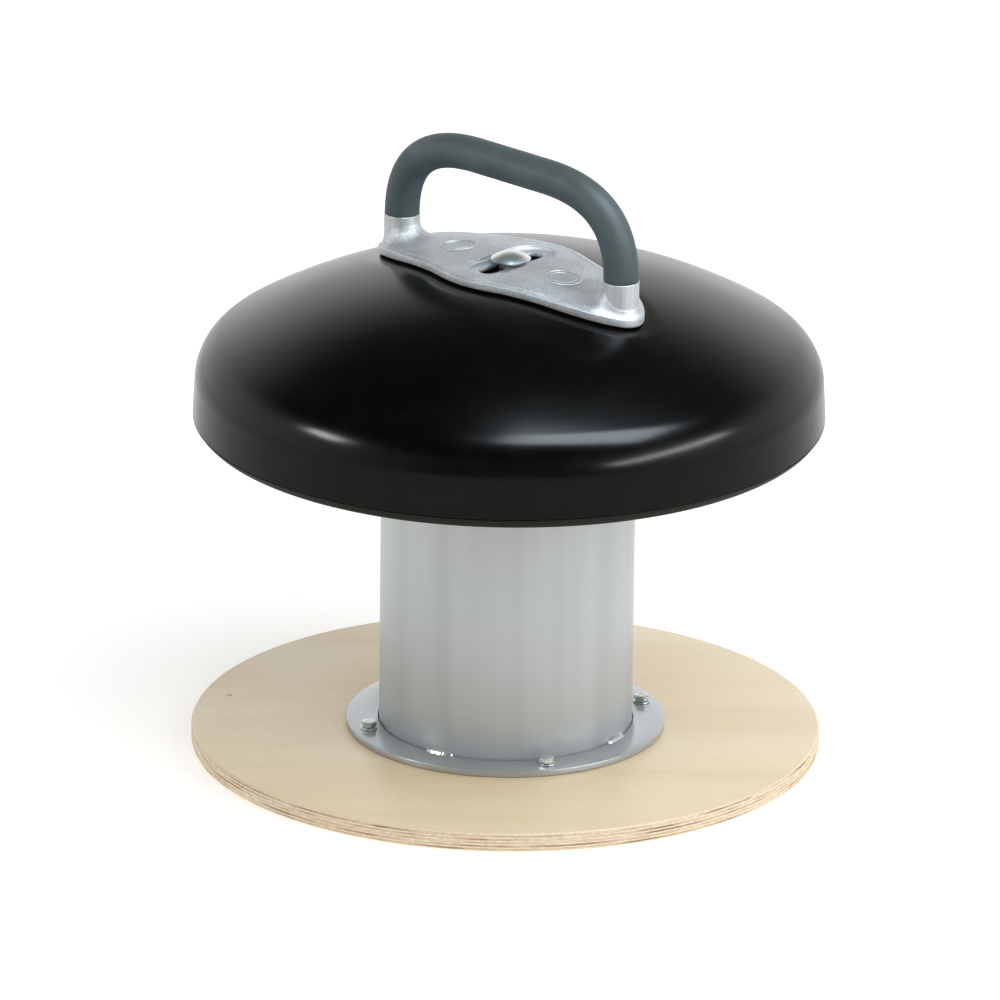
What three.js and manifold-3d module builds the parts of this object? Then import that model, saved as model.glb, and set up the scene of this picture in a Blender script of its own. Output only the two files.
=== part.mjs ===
// Gymnastics mushroom trainer with one pommel: a padded dome on a flanged steel column, on a plywood base.
// Millimetres, +Z up. The origin is the base's centre at floor level, and X runs along the pommel's grip.
import * as THREE from 'three';
import { mergeVertices } from 'three/addons/utils/BufferGeometryUtils.js';
import Module from 'manifold-3d';

const wasm = await Module();
wasm.setup();

// ---------------------------------------------------------------- driving dimensions

const GAP = 0.3; // clearance between pieces that touch on the real object
const OVERCUT = 1; // how far a cutter runs past the face that it opens
const JOIN = 0.01; // how far two shapes of one solid run into each other
const QUARTER_TURN = Math.PI / 2;

// Sides of the round pieces
const BOARD_SIDES = 48;
const TUBE_SIDES = 60;
const PAD_SIDES = 20;
const M8_SIDES = 12;
const M16_SIDES = 16;
const HEAD_SIDES = 24;
const POST_SIDES = 20;
const GRIP_SIDES = 14;
const GRIP_CORE_SIDES = 10;

// Base board and its rubber pads
const BASE_RADIUS = 300;
const BOARD_THICKNESS = 18;
const BOARD_EDGE_ROUND = 3;
const ACCESS_HOLE_RADIUS = 75;
const PAD_RADIUS = 25;
const PAD_THICKNESS = 4;
const PAD_STAND_OUT = 1;
const PAD_CIRCLE_RADIUS = 262;
const PAD_COUNT = 6;

// Column and its two flanges
const TUBE_RADIUS = 121;
const TUBE_WALL = 4;
const FLANGE_RADIUS = 152;
const FLANGE_THICKNESS = 6;
const FLANGE_BORE_CLEARANCE = 0.6;
const BOLT_CIRCLE_RADIUS = 136;
const FLANGE_HOLE_RADIUS = 4.6;
const BOLT_ANGLES = [60, 150, 240, 330];
const WELD_ANGLES = [12, 102, 192, 282];
const WELD_LENGTH = 32;
const WELD_LEG = 4.5;
const WELD_BEVEL = 0.9;

// M8 fasteners
const M8_RADIUS = 4;
const M8_HEX_FLATS = 13;
const M8_HEAD_HEIGHT = 5.3;
const M8_WASHER_RADIUS = 8;
const M8_WASHER_THICKNESS = 1.6;
const TEE_NUT_FLANGE_RADIUS = 11;
const TEE_NUT_FLANGE_THICKNESS = 1.5;
const TEE_NUT_BARREL_RADIUS = 4.9;
const TEE_NUT_LENGTH = 11;
const TEE_NUT_SINK = 2;
const M8_BORE_RADIUS = M8_RADIUS + 0.2;

// Dome: seam at the bottom of the side band, then a round shoulder and a crown that flattens to its top
const SEAM_RADIUS = 300;
const SEAM_HEIGHT = 331;
const BAND_TOP_RADIUS = 298.3;
const BAND_TOP_HEIGHT = 364;
const SHOULDER_RADIUS = 50;
const SHOULDER_SLOPE = 0.6; // fall per length outward where the crown meets the shoulder
const CROWN_TOP = 477.4;
const COVER_THICKNESS = 2.5;
const FOAM_THICKNESS = 22;
const CORE_THICKNESS = 14;
const DOME_SIDES = 48;
const CORE_SIDES = 24;
const CORE_CROWN_STEPS = 5;
const CORE_SHOULDER_STEPS = 3;

// Head board and rim trim
const HEAD_BOARD_BOTTOM = 321.3;
const HEAD_BOARD_RADIUS = 296.9;
const REBATE_RADIUS = 288;
const TRIM_LIP_RADIUS = 278;
const TRIM_BOTTOM = 320;
const TRIM_ROUND = [[1.5, 9], [6, 4], [11, 0]]; // [step in from the seam, height above the trim's bottom]

// Pommel casting
const UNDERLAY_THICKNESS = 1;
const PLATE_THICKNESS = 7;
const PLATE_OUTLINE = [
  [164, 0], [160, 12.5], [150.5, 22.5], [135, 33], [110, 43.5], [80, 51], [50, 58.5], [24, 66], [0, 69],
];
const PLATE_OUTLINE_POINTS = 56;
const UNDERLAY_INSET = 0.985;
const POST_SPACING = 283.4;
const POST_RADIUS = 17.2;
const POST_TOP = 497.8;
const POST_FILLET = 17;
const POST_FOOT_LEVEL = 470.1;
const FILLET_STEPS = 4;
const POCKET_LENGTH = 102;
const POCKET_WIDTH = 44;
const POCKET_DEPTH = 4.5;
const SLOT_LENGTH = 80;
const SLOT_WIDTH = 18;

// Pommel grip
const GRIP_RADIUS = 16.7;
const GRIP_CORE_RADIUS = 11;
const GRIP_TOP_CENTRE = 578.4;
const GRIP_FLAT_HALF = 43.2;
const GRIP_CORNER_PULL = [0.78, 0.56]; // shares of a corner's height and width that its Bezier handles take
const GRIP_CORE_DEPTH = 20;
const GRIP_SCREW_HEAD_RADIUS = 6.5;
const GRIP_SCREW_HEAD_HEIGHT = 4;
const GRIP_SCREW_WEB = 5; // metal left between the screw's head and the grip core
const GRIP_SCREW_LENGTH = 25;
const GRIP_THREAD_DEPTH = 22;
const GRIP_STEPS = 26;

// M16 carriage bolt, its washers and its nut
const M16_RADIUS = 8;
const CARRIAGE_HEAD_RADIUS = 19;
const CARRIAGE_HEAD_RIM = 1.3;
const CARRIAGE_HEAD_CROWN = 6.5;
const CROWN_STEPS = 4;
const CARRIAGE_NECK = 16;
const CARRIAGE_NECK_LENGTH = 12;
const CARRIAGE_BOLT_LENGTH = 200;
const SPACER_RADIUS = 13;
const SPACER_THICKNESS = 3;
const CLAMP_WASHER_RADIUS = 28;
const CLAMP_WASHER_THICKNESS = 5;
const M16_HEX_FLATS = 24;
const M16_NUT_HEIGHT = 13;
const M16_BORE_RADIUS = M16_RADIUS + 0.3;
const GUIDE_TUBE_RADIUS = 13.5;
const BOLT_PASSAGE_RADIUS = 9.5;
const NECK_PASSAGE_RADIUS = 12;

// ---------------------------------------------------------------- derived levels

const BOARD_BOTTOM = PAD_STAND_OUT;
const BOARD_TOP = BOARD_BOTTOM + BOARD_THICKNESS;
const FLANGE_BOTTOM = BOARD_TOP + GAP;
const FLANGE_TOP = FLANGE_BOTTOM + FLANGE_THICKNESS;
const COLUMN_TOP = HEAD_BOARD_BOTTOM - GAP;
const TOP_FLANGE_BOTTOM = COLUMN_TOP - FLANGE_THICKNESS;
const HEAD_BOARD_TOP = HEAD_BOARD_BOTTOM + BOARD_THICKNESS;
const SHOULDER_END_ANGLE = QUARTER_TURN - Math.atan(SHOULDER_SLOPE);
const SHOULDER_CENTRE = BAND_TOP_RADIUS - SHOULDER_RADIUS;
const CROWN_RADIUS = SHOULDER_CENTRE + SHOULDER_RADIUS * Math.cos(SHOULDER_END_ANGLE);
const CROWN_EDGE_HEIGHT = BAND_TOP_HEIGHT + SHOULDER_RADIUS * Math.sin(SHOULDER_END_ANGLE);
const CROWN_DROP = CROWN_TOP - CROWN_EDGE_HEIGHT;
const CROWN_POWER = (SHOULDER_SLOPE * CROWN_RADIUS) / CROWN_DROP;
const FOAM_OFFSET = COVER_THICKNESS + GAP;
const CORE_OFFSET = FOAM_OFFSET + FOAM_THICKNESS + GAP;
const UNDERLAY_OFFSET = -GAP;
const PLATE_BOTTOM_OFFSET = UNDERLAY_OFFSET - UNDERLAY_THICKNESS - GAP;
const PLATE_TOP_OFFSET = PLATE_BOTTOM_OFFSET - PLATE_THICKNESS;
const PLATE_CENTRE_TOP = CROWN_TOP - PLATE_TOP_OFFSET;
const POCKET_FLOOR = PLATE_CENTRE_TOP - POCKET_DEPTH;
const HEAD_UNDERSIDE = POCKET_FLOOR + SPACER_THICKNESS + 2 * GAP;
const CLAMP_WASHER_TOP = HEAD_BOARD_BOTTOM - GAP;
const CLAMP_NUT_TOP = CLAMP_WASHER_TOP - CLAMP_WASHER_THICKNESS - GAP;
const GRIP_SEAT = POST_TOP - GRIP_CORE_DEPTH;
const SCREW_SEAT = GRIP_SEAT - GRIP_SCREW_WEB;

// ---------------------------------------------------------------- materials

const finish = (color, roughness, metalness) =>
  new THREE.MeshStandardMaterial({ color, roughness, metalness });
const birch = finish(0xd9cba8, 0.6, 0);
const beech = finish(0xb9a17a, 0.7, 0);
const silverPaint = finish(0xb4b8bc, 0.42, 0.55);
const zinc = finish(0xbfc6c8, 0.3, 0.9);
const blackVinyl = finish(0x0c0c0e, 0.3, 0);
const blackRubber = finish(0x1b1a19, 0.8, 0);
const foam = finish(0xc9b77f, 0.95, 0);
const castSilver = finish(0xb9bcc0, 0.45, 0.6);
const greyRubber = finish(0x4d5a60, 0.65, 0);

// ---------------------------------------------------------------- solid helpers

// A closed three.js geometry as a manifold solid, with its faces turned outward.
function solid(geometry) {
  const bare = geometry.clone();
  bare.deleteAttribute('normal');
  bare.deleteAttribute('uv');
  const merged = mergeVertices(bare, 1e-4);
  const index = Array.from(merged.index.array);
  const triangles = [];
  for (let i = 0; i < index.length; i += 3) {
    const [a, b, c] = index.slice(i, i + 3);
    if (a !== b && b !== c && c !== a) triangles.push(a, b, c);
  }
  const build = (corners) => {
    const vertProperties = new Float32Array(merged.attributes.position.array);
    const triVerts = new Uint32Array(corners);
    return new wasm.Manifold(new wasm.Mesh({ numProp: 3, vertProperties, triVerts }));
  };
  if (signedVolume(merged.attributes.position, triangles) > 0) return build(triangles);
  return build(triangles.reverse());
}

function signedVolume(position, triangles) {
  const [a, b, c] = [new THREE.Vector3(), new THREE.Vector3(), new THREE.Vector3()];
  let volume = 0;
  for (let i = 0; i < triangles.length; i += 3) {
    a.fromBufferAttribute(position, triangles[i]);
    b.fromBufferAttribute(position, triangles[i + 1]);
    c.fromBufferAttribute(position, triangles[i + 2]);
    volume += a.dot(b.cross(c)) / 6;
  }
  return volume;
}

// A full turn of an [r, z] outline about Z. The outline closes on itself or starts and ends on the axis.
function turned(outline, segments) {
  const closed = outline.some(([r]) => r === 0) ? outline : [...outline, outline[0]];
  const points = closed.map(([r, z]) => new THREE.Vector2(r, z));
  return solid(new THREE.LatheGeometry(points, segments).rotateX(QUARTER_TURN));
}

const ring = (inner, outer, bottom, top, segments) =>
  turned([[inner, bottom], [outer, bottom], [outer, top], [inner, top]], segments);

// An upright prism or cylinder between two levels.
function upright(radius, bottom, top, sides) {
  const geometry = new THREE.CylinderGeometry(radius, radius, top - bottom, sides).rotateX(QUARTER_TURN);
  return solid(geometry.translate(0, 0, (bottom + top) / 2));
}

// A flat outline of Vector2 points, extruded upward between two levels.
function extruded(points, bottom, top) {
  const shape = new THREE.Shape(points);
  const geometry = new THREE.ExtrudeGeometry(shape, { depth: top - bottom, bevelEnabled: false });
  return solid(geometry.translate(0, 0, bottom));
}

// A slot with round ends, its length along Y.
function slotPrism(length, width, bottom, top) {
  const radius = width / 2;
  const reach = length / 2 - radius;
  const shape = new THREE.Shape();
  shape.absarc(0, reach, radius, 0, Math.PI, false);
  shape.absarc(0, -reach, radius, Math.PI, 2 * Math.PI, false);
  return extruded(shape.getPoints(8), bottom, top);
}

const hexRadius = (flats) => flats / Math.sqrt(3);
const radians = THREE.MathUtils.degToRad;
const onCircle = (radius, degrees) =>
  [radius * Math.cos(radians(degrees)), radius * Math.sin(radians(degrees))];

// A group of equal cutters, one at each angle of a circle.
function around(cutter, radius, angles) {
  return angles.map((degrees) => {
    const [x, y] = onCircle(radius, degrees);
    return cutter.translate([x, y, 0]);
  }).reduce((all, one) => all.add(one));
}

const group = new THREE.Group();

function addPiece(name, manifold, material, position = [0, 0, 0], turn = 0) {
  const { vertProperties, triVerts } = manifold.getMesh();
  const geometry = new THREE.BufferGeometry();
  geometry.setAttribute('position', new THREE.BufferAttribute(new Float32Array(vertProperties), 3));
  geometry.setIndex(Array.from(triVerts));
  geometry.computeVertexNormals();
  const mesh = new THREE.Mesh(geometry, material);
  mesh.name = name;
  mesh.position.set(...position);
  mesh.rotation.z = radians(turn);
  group.add(mesh);
}

// ---------------------------------------------------------------- base

const padAngles = Array.from({ length: PAD_COUNT }, (_, i) => (i * 360) / PAD_COUNT + 30);

function baseBoard() {
  const bevel = BOARD_EDGE_ROUND * (1 - Math.SQRT1_2);
  const blank = turned([
    [ACCESS_HOLE_RADIUS, BOARD_BOTTOM],
    [BASE_RADIUS - BOARD_EDGE_ROUND, BOARD_BOTTOM],
    [BASE_RADIUS - bevel, BOARD_BOTTOM + bevel],
    [BASE_RADIUS, BOARD_BOTTOM + BOARD_EDGE_ROUND],
    [BASE_RADIUS, BOARD_TOP - BOARD_EDGE_ROUND],
    [BASE_RADIUS - bevel, BOARD_TOP - bevel],
    [BASE_RADIUS - BOARD_EDGE_ROUND, BOARD_TOP],
    [ACCESS_HOLE_RADIUS, BOARD_TOP],
  ], BOARD_SIDES);
  const pocket = upright(PAD_RADIUS + GAP, 0, PAD_THICKNESS + GAP, PAD_SIDES);
  return blank
    .subtract(around(pocket, PAD_CIRCLE_RADIUS, padAngles))
    .subtract(around(teeNutHole(BOARD_BOTTOM, BOARD_TOP, 1), BOLT_CIRCLE_RADIUS, BOLT_ANGLES));
}

// The stepped hole of a tee nut, sunk from the face at level `sunk` towards the face at level `far`.
function teeNutHole(sunk, far, direction) {
  const step = sunk + direction * (TEE_NUT_SINK + GAP);
  const [seatLow, seatHigh] = [sunk - direction * OVERCUT, step].sort((a, b) => a - b);
  const [holeLow, holeHigh] = [sunk, far + direction * OVERCUT].sort((a, b) => a - b);
  const seat = upright(TEE_NUT_FLANGE_RADIUS + GAP, seatLow, seatHigh, M8_SIDES);
  return seat.add(upright(TEE_NUT_BARREL_RADIUS + GAP, holeLow, holeHigh, M8_SIDES));
}

// A tee nut with its flange at z = 0 and its barrel pointing up.
const teeNut = turned([
  [M8_BORE_RADIUS, 0],
  [TEE_NUT_FLANGE_RADIUS, 0],
  [TEE_NUT_FLANGE_RADIUS, TEE_NUT_FLANGE_THICKNESS],
  [TEE_NUT_BARREL_RADIUS, TEE_NUT_FLANGE_THICKNESS],
  [TEE_NUT_BARREL_RADIUS, TEE_NUT_LENGTH],
  [M8_BORE_RADIUS, TEE_NUT_LENGTH],
], M8_SIDES);

// A hex bolt with the underside of its head at z = 0 and its shank pointing down.
function hexBolt(length) {
  const head = upright(hexRadius(M8_HEX_FLATS), 0, M8_HEAD_HEIGHT, 6);
  return head.add(upright(M8_RADIUS, -length, JOIN, M8_SIDES));
}

const flangeWasher = ring(M8_BORE_RADIUS, M8_WASHER_RADIUS, 0, M8_WASHER_THICKNESS, M8_SIDES);

function flangeRing() {
  const blank = ring(TUBE_RADIUS + FLANGE_BORE_CLEARANCE, FLANGE_RADIUS, 0, FLANGE_THICKNESS, TUBE_SIDES);
  const hole = upright(FLANGE_HOLE_RADIUS, -OVERCUT, FLANGE_THICKNESS + OVERCUT, M8_SIDES);
  return blank.subtract(around(hole, BOLT_CIRCLE_RADIUS, BOLT_ANGLES));
}

// A stitch weld in the corner between the tube and a flange that lies below z = 0.
function weldBead() {
  const half = WELD_LENGTH / 2 / TUBE_RADIUS;
  const inner = TUBE_RADIUS + GAP + WELD_BEVEL;
  const outer = TUBE_RADIUS + WELD_LEG;
  const shape = new THREE.Shape();
  shape.absarc(0, 0, outer, -half, half, false);
  shape.absarc(0, 0, inner, half, -half, true);
  const settings = {
    depth: WELD_LEG - 2 * WELD_BEVEL, curveSegments: 4,
    bevelThickness: WELD_BEVEL, bevelSize: WELD_BEVEL, bevelSegments: 1,
  };
  return solid(new THREE.ExtrudeGeometry(shape, settings).translate(0, 0, WELD_BEVEL + GAP));
}

const rubberPad = upright(PAD_RADIUS, 0, PAD_THICKNESS, PAD_SIDES);
padAngles.forEach((degrees, i) => {
  addPiece(`floor_pad_${i + 1}`, rubberPad, blackRubber, [...onCircle(PAD_CIRCLE_RADIUS, degrees), 0]);
});
addPiece('base_board', baseBoard(), birch);

const tube = ring(TUBE_RADIUS - TUBE_WALL, TUBE_RADIUS, FLANGE_BOTTOM, COLUMN_TOP, TUBE_SIDES);
addPiece('column_tube', tube, silverPaint);
const flange = flangeRing();
addPiece('bottom_flange', flange, silverPaint, [0, 0, FLANGE_BOTTOM]);
addPiece('top_flange', flange, silverPaint, [0, 0, TOP_FLANGE_BOTTOM]);

const bead = weldBead();
WELD_ANGLES.forEach((degrees, i) => {
  addPiece(`base_weld_${i + 1}`, bead, silverPaint, [0, 0, FLANGE_TOP], degrees);
  const hanging = bead.rotate([180, 0, 0]);
  addPiece(`head_weld_${i + 1}`, hanging, silverPaint, [0, 0, TOP_FLANGE_BOTTOM], degrees);
});

const washerLift = M8_WASHER_THICKNESS + 2 * GAP;
const baseBolt = hexBolt(FLANGE_TOP + washerLift - BOARD_BOTTOM - TEE_NUT_SINK);
const headBolt = hexBolt(FLANGE_THICKNESS + washerLift + BOARD_THICKNESS).rotate([180, 0, 0]);
const topTeeNut = teeNut.rotate([180, 0, 0]);
BOLT_ANGLES.forEach((degrees, i) => {
  const [x, y] = onCircle(BOLT_CIRCLE_RADIUS, degrees);
  const n = i + 1;
  addPiece(`base_bolt_${n}`, baseBolt, zinc, [x, y, FLANGE_TOP + washerLift], degrees);
  addPiece(`base_washer_${n}`, flangeWasher, zinc, [x, y, FLANGE_TOP + GAP]);
  addPiece(`base_tee_nut_${n}`, teeNut, zinc, [x, y, BOARD_BOTTOM + GAP]);
  addPiece(`head_bolt_${n}`, headBolt, zinc, [x, y, TOP_FLANGE_BOTTOM - washerLift], degrees);
  addPiece(`head_washer_${n}`, flangeWasher, zinc, [x, y, TOP_FLANGE_BOTTOM - GAP - M8_WASHER_THICKNESS]);
  addPiece(`head_tee_nut_${n}`, topTeeNut, zinc, [x, y, HEAD_BOARD_TOP - GAP]);
});

// ---------------------------------------------------------------- dome

// Points of the dome's outer surface with their outward normals, from the crown down to the seam.
function domeSurface(crownSteps, shoulderSteps) {
  const samples = [];
  for (let i = 0; i < crownSteps; i += 1) {
    const share = i / crownSteps;
    const slope = SHOULDER_SLOPE * share ** (CROWN_POWER - 1);
    const point = new THREE.Vector2(CROWN_RADIUS * share, CROWN_TOP - CROWN_DROP * share ** CROWN_POWER);
    samples.push({ point, normal: new THREE.Vector2(slope, 1).normalize() });
  }
  for (let i = 0; i <= shoulderSteps; i += 1) {
    const angle = SHOULDER_END_ANGLE * (1 - i / shoulderSteps);
    const normal = new THREE.Vector2(Math.cos(angle), Math.sin(angle));
    const point = normal.clone().multiplyScalar(SHOULDER_RADIUS);
    samples.push({ point: point.add(new THREE.Vector2(SHOULDER_CENTRE, BAND_TOP_HEIGHT)), normal });
  }
  return samples;
}

// The dome's outline moved inward by `offset`, starting at radius `start` and ending on the level `bottom`.
function domeOutline(offset, start, bottom, samples) {
  const moved = samples.map(({ point, normal }) => point.clone().addScaledVector(normal, -offset));
  const inside = moved.filter((point) => point.x > start);
  const first = moved[moved.length - inside.length - 1];
  const share = (start - first.x) / (inside[0].x - first.x);
  const bandSlope = (SEAM_RADIUS - BAND_TOP_RADIUS) / (BAND_TOP_HEIGHT - SEAM_HEIGHT);
  const last = inside[inside.length - 1];
  return [
    [start, first.y + share * (inside[0].y - first.y)],
    ...inside.map((point) => [point.x, point.y]),
    [last.x + (last.y - bottom) * bandSlope, bottom],
  ];
}

// A shell between two offsets of the dome's outer surface.
function domeShell(outerOffset, innerOffset, hole, bottom, samples, segments) {
  const outer = domeOutline(outerOffset, hole, bottom, samples);
  const inner = domeOutline(innerOffset, hole, bottom, samples);
  return turned([...outer, ...inner.reverse()], segments);
}

// The inner layers use every second point of the cover's surface, so that their chords stay inside it.
const coverSurface = domeSurface(2 * CORE_CROWN_STEPS, 2 * CORE_SHOULDER_STEPS);
const coarseSurface = domeSurface(CORE_CROWN_STEPS, CORE_SHOULDER_STEPS);
const cover = domeShell(0, COVER_THICKNESS, NECK_PASSAGE_RADIUS, SEAM_HEIGHT, coverSurface, DOME_SIDES);
addPiece('dome_cover', cover, blackVinyl);

const paddingHole = GUIDE_TUBE_RADIUS + GAP;
const domeFloor = HEAD_BOARD_TOP + GAP;
const innerShell = (offset, thickness) =>
  domeShell(offset, offset + thickness, paddingHole, domeFloor, coarseSurface, CORE_SIDES);
addPiece('foam_layer', innerShell(FOAM_OFFSET, FOAM_THICKNESS), foam);
addPiece('core_shell', innerShell(CORE_OFFSET, CORE_THICKNESS), beech);
const guideTop = CROWN_TOP - FOAM_OFFSET - FOAM_THICKNESS;
addPiece('guide_tube', ring(BOLT_PASSAGE_RADIUS, GUIDE_TUBE_RADIUS, domeFloor, guideTop, M16_SIDES), zinc);

function headBoard() {
  const blank = turned([
    [BOLT_PASSAGE_RADIUS, HEAD_BOARD_BOTTOM],
    [REBATE_RADIUS, HEAD_BOARD_BOTTOM],
    [REBATE_RADIUS, SEAM_HEIGHT],
    [HEAD_BOARD_RADIUS, SEAM_HEIGHT],
    [HEAD_BOARD_RADIUS, HEAD_BOARD_TOP],
    [BOLT_PASSAGE_RADIUS, HEAD_BOARD_TOP],
  ], DOME_SIDES);
  const holes = around(teeNutHole(HEAD_BOARD_TOP, HEAD_BOARD_BOTTOM, -1), BOLT_CIRCLE_RADIUS, BOLT_ANGLES);
  return blank.subtract(holes);
}
addPiece('head_board', headBoard(), birch);

const trimInner = REBATE_RADIUS + 2 * GAP;
const trim = turned([
  [trimInner, SEAM_HEIGHT - GAP],
  [SEAM_RADIUS - GAP, SEAM_HEIGHT - GAP],
  ...TRIM_ROUND.map(([step, height]) => [SEAM_RADIUS - step, TRIM_BOTTOM + height]),
  [TRIM_LIP_RADIUS, TRIM_BOTTOM],
  [TRIM_LIP_RADIUS, HEAD_BOARD_BOTTOM - GAP],
  [trimInner, HEAD_BOARD_BOTTOM - GAP],
], DOME_SIDES);
addPiece('rim_trim', trim, blackRubber);

// ---------------------------------------------------------------- pommel

// The plate's outline: one quarter is mirrored into all four, then drawn as one smooth closed curve.
function plateOutline(scale) {
  const quarter = PLATE_OUTLINE.map(([x, y]) => [x * scale, y * scale]);
  const left = quarter.slice(0, -1).reverse().map(([x, y]) => [-x, y]);
  const half = [...quarter, ...left];
  const lower = half.slice(1, -1).reverse().map(([x, y]) => [x, -y]);
  const points = [...half, ...lower].map(([x, y]) => new THREE.Vector3(x, y, 0));
  const curve = new THREE.CatmullRomCurve3(points, true);
  return curve.getPoints(PLATE_OUTLINE_POINTS).slice(0, -1).map(({ x, y }) => new THREE.Vector2(x, y));
}

// A solid that fills the dome from `offset` down, used to give the plate its curved faces.
const domeFill = (offset) => {
  const outline = domeOutline(offset, 0, SEAM_HEIGHT, coverSurface);
  return turned([...outline, [0, SEAM_HEIGHT]], DOME_SIDES);
};

// A post with a concave foot, its axis at x = 0, rising from below the plate.
function post() {
  const foot = [];
  for (let i = 0; i <= FILLET_STEPS; i += 1) {
    const angle = (QUARTER_TURN * i) / FILLET_STEPS;
    const radius = POST_RADIUS + POST_FILLET * (1 - Math.sin(angle));
    foot.push([radius, POST_FOOT_LEVEL + POST_FILLET * (1 - Math.cos(angle))]);
  }
  const bottom = POST_FOOT_LEVEL - POST_FILLET;
  const outline = [[0, bottom], [POST_RADIUS + POST_FILLET, bottom], ...foot, [POST_RADIUS, POST_TOP]];
  return turned([...outline, [0, POST_TOP]], POST_SIDES);
}

function postBore() {
  const socket = upright(GRIP_CORE_RADIUS + GAP, GRIP_SEAT, POST_TOP + OVERCUT, M16_SIDES);
  const screwHole = upright(M8_RADIUS + GAP, SCREW_SEAT - OVERCUT, GRIP_SEAT + OVERCUT, M8_SIDES);
  const counterbore = upright(GRIP_SCREW_HEAD_RADIUS + GAP, BAND_TOP_HEIGHT, SCREW_SEAT, M8_SIDES);
  return socket.add(screwHole).add(counterbore);
}

function pommelBase() {
  const prism = extruded(plateOutline(1), SEAM_HEIGHT, POST_TOP + OVERCUT);
  const half = POST_SPACING / 2;
  const posts = post().translate([half, 0, 0]).add(post().translate([-half, 0, 0]));
  const bores = postBore().translate([half, 0, 0]).add(postBore().translate([-half, 0, 0]));
  return domeFill(PLATE_TOP_OFFSET)
    .add(posts)
    .intersect(prism)
    .subtract(domeFill(PLATE_BOTTOM_OFFSET))
    .subtract(slotPrism(POCKET_LENGTH, POCKET_WIDTH, POCKET_FLOOR, POST_TOP))
    .subtract(slotPrism(SLOT_LENGTH, SLOT_WIDTH, SEAM_HEIGHT, POST_TOP))
    .subtract(bores);
}
addPiece('pommel_base', pommelBase(), castSilver);

function pommelPad() {
  const prism = extruded(plateOutline(UNDERLAY_INSET), SEAM_HEIGHT, POST_TOP);
  return domeFill(UNDERLAY_OFFSET - UNDERLAY_THICKNESS)
    .intersect(prism)
    .subtract(domeFill(UNDERLAY_OFFSET))
    .subtract(slotPrism(SLOT_LENGTH, SLOT_WIDTH, SEAM_HEIGHT, POST_TOP));
}
addPiece('pommel_pad', pommelPad(), blackRubber);

// The grip's centre line, from level `start` in one post, over the top and down to it in the other.
function gripPath(start) {
  const half = POST_SPACING / 2;
  const rise = GRIP_TOP_CENTRE - POST_TOP;
  const run = half - GRIP_FLAT_HALF;
  const at = (x, z) => new THREE.Vector3(x, 0, z);
  const [pullUp, pullIn] = GRIP_CORNER_PULL;
  const corner = (side) => [
    at(side * half, POST_TOP),
    at(side * half, POST_TOP + pullUp * rise),
    at(side * (GRIP_FLAT_HALF + pullIn * run), GRIP_TOP_CENTRE),
    at(side * GRIP_FLAT_HALF, GRIP_TOP_CENTRE),
  ];
  const path = new THREE.CurvePath();
  if (start < POST_TOP) path.add(new THREE.LineCurve3(at(-half, start), at(-half, POST_TOP)));
  path.add(new THREE.CubicBezierCurve3(...corner(-1)));
  path.add(new THREE.LineCurve3(at(-GRIP_FLAT_HALF, GRIP_TOP_CENTRE), at(GRIP_FLAT_HALF, GRIP_TOP_CENTRE)));
  path.add(new THREE.CubicBezierCurve3(...corner(1).reverse()));
  if (start < POST_TOP) path.add(new THREE.LineCurve3(at(half, POST_TOP), at(half, start)));
  return path;
}

function barAlong(path, radius, sides) {
  const section = Array.from({ length: sides }, (_, i) => {
    const angle = (2 * Math.PI * i) / sides;
    return new THREE.Vector2(radius * Math.cos(angle), radius * Math.sin(angle));
  });
  const settings = { steps: GRIP_STEPS, extrudePath: path };
  return solid(new THREE.ExtrudeGeometry(new THREE.Shape(section), settings));
}

const belowPosts = upright(SEAM_RADIUS, 0, POST_TOP + GAP, M8_SIDES);
const gripCore = () => {
  const half = POST_SPACING / 2;
  const thread = upright(M8_BORE_RADIUS, GRIP_SEAT - OVERCUT, GRIP_SEAT + GRIP_THREAD_DEPTH, M8_SIDES);
  return barAlong(gripPath(GRIP_SEAT + GAP), GRIP_CORE_RADIUS, GRIP_CORE_SIDES)
    .subtract(thread.translate([half, 0, 0]))
    .subtract(thread.translate([-half, 0, 0]));
};
addPiece('grip_core', gripCore(), zinc);

const sleeveBore = barAlong(gripPath(GRIP_SEAT + GAP), GRIP_CORE_RADIUS + GAP, GRIP_CORE_SIDES);
const sleeve = barAlong(gripPath(POST_TOP), GRIP_RADIUS, GRIP_SIDES).subtract(sleeveBore);
addPiece('grip_sleeve', sleeve.subtract(belowPosts), greyRubber);

const screwHeadTop = SCREW_SEAT - GAP;
const screwHeadBottom = screwHeadTop - GRIP_SCREW_HEAD_HEIGHT;
const screwHead = upright(GRIP_SCREW_HEAD_RADIUS, screwHeadBottom, screwHeadTop, M8_SIDES);
const screwShank = upright(M8_RADIUS, screwHeadTop - JOIN, screwHeadTop + GRIP_SCREW_LENGTH, M8_SIDES);
const gripScrew = screwHead.add(screwShank);
[-1, 1].forEach((side, i) => {
  addPiece(`grip_screw_${i + 1}`, gripScrew, zinc, [(side * POST_SPACING) / 2, 0, 0]);
});

// ---------------------------------------------------------------- pommel clamp

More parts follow.
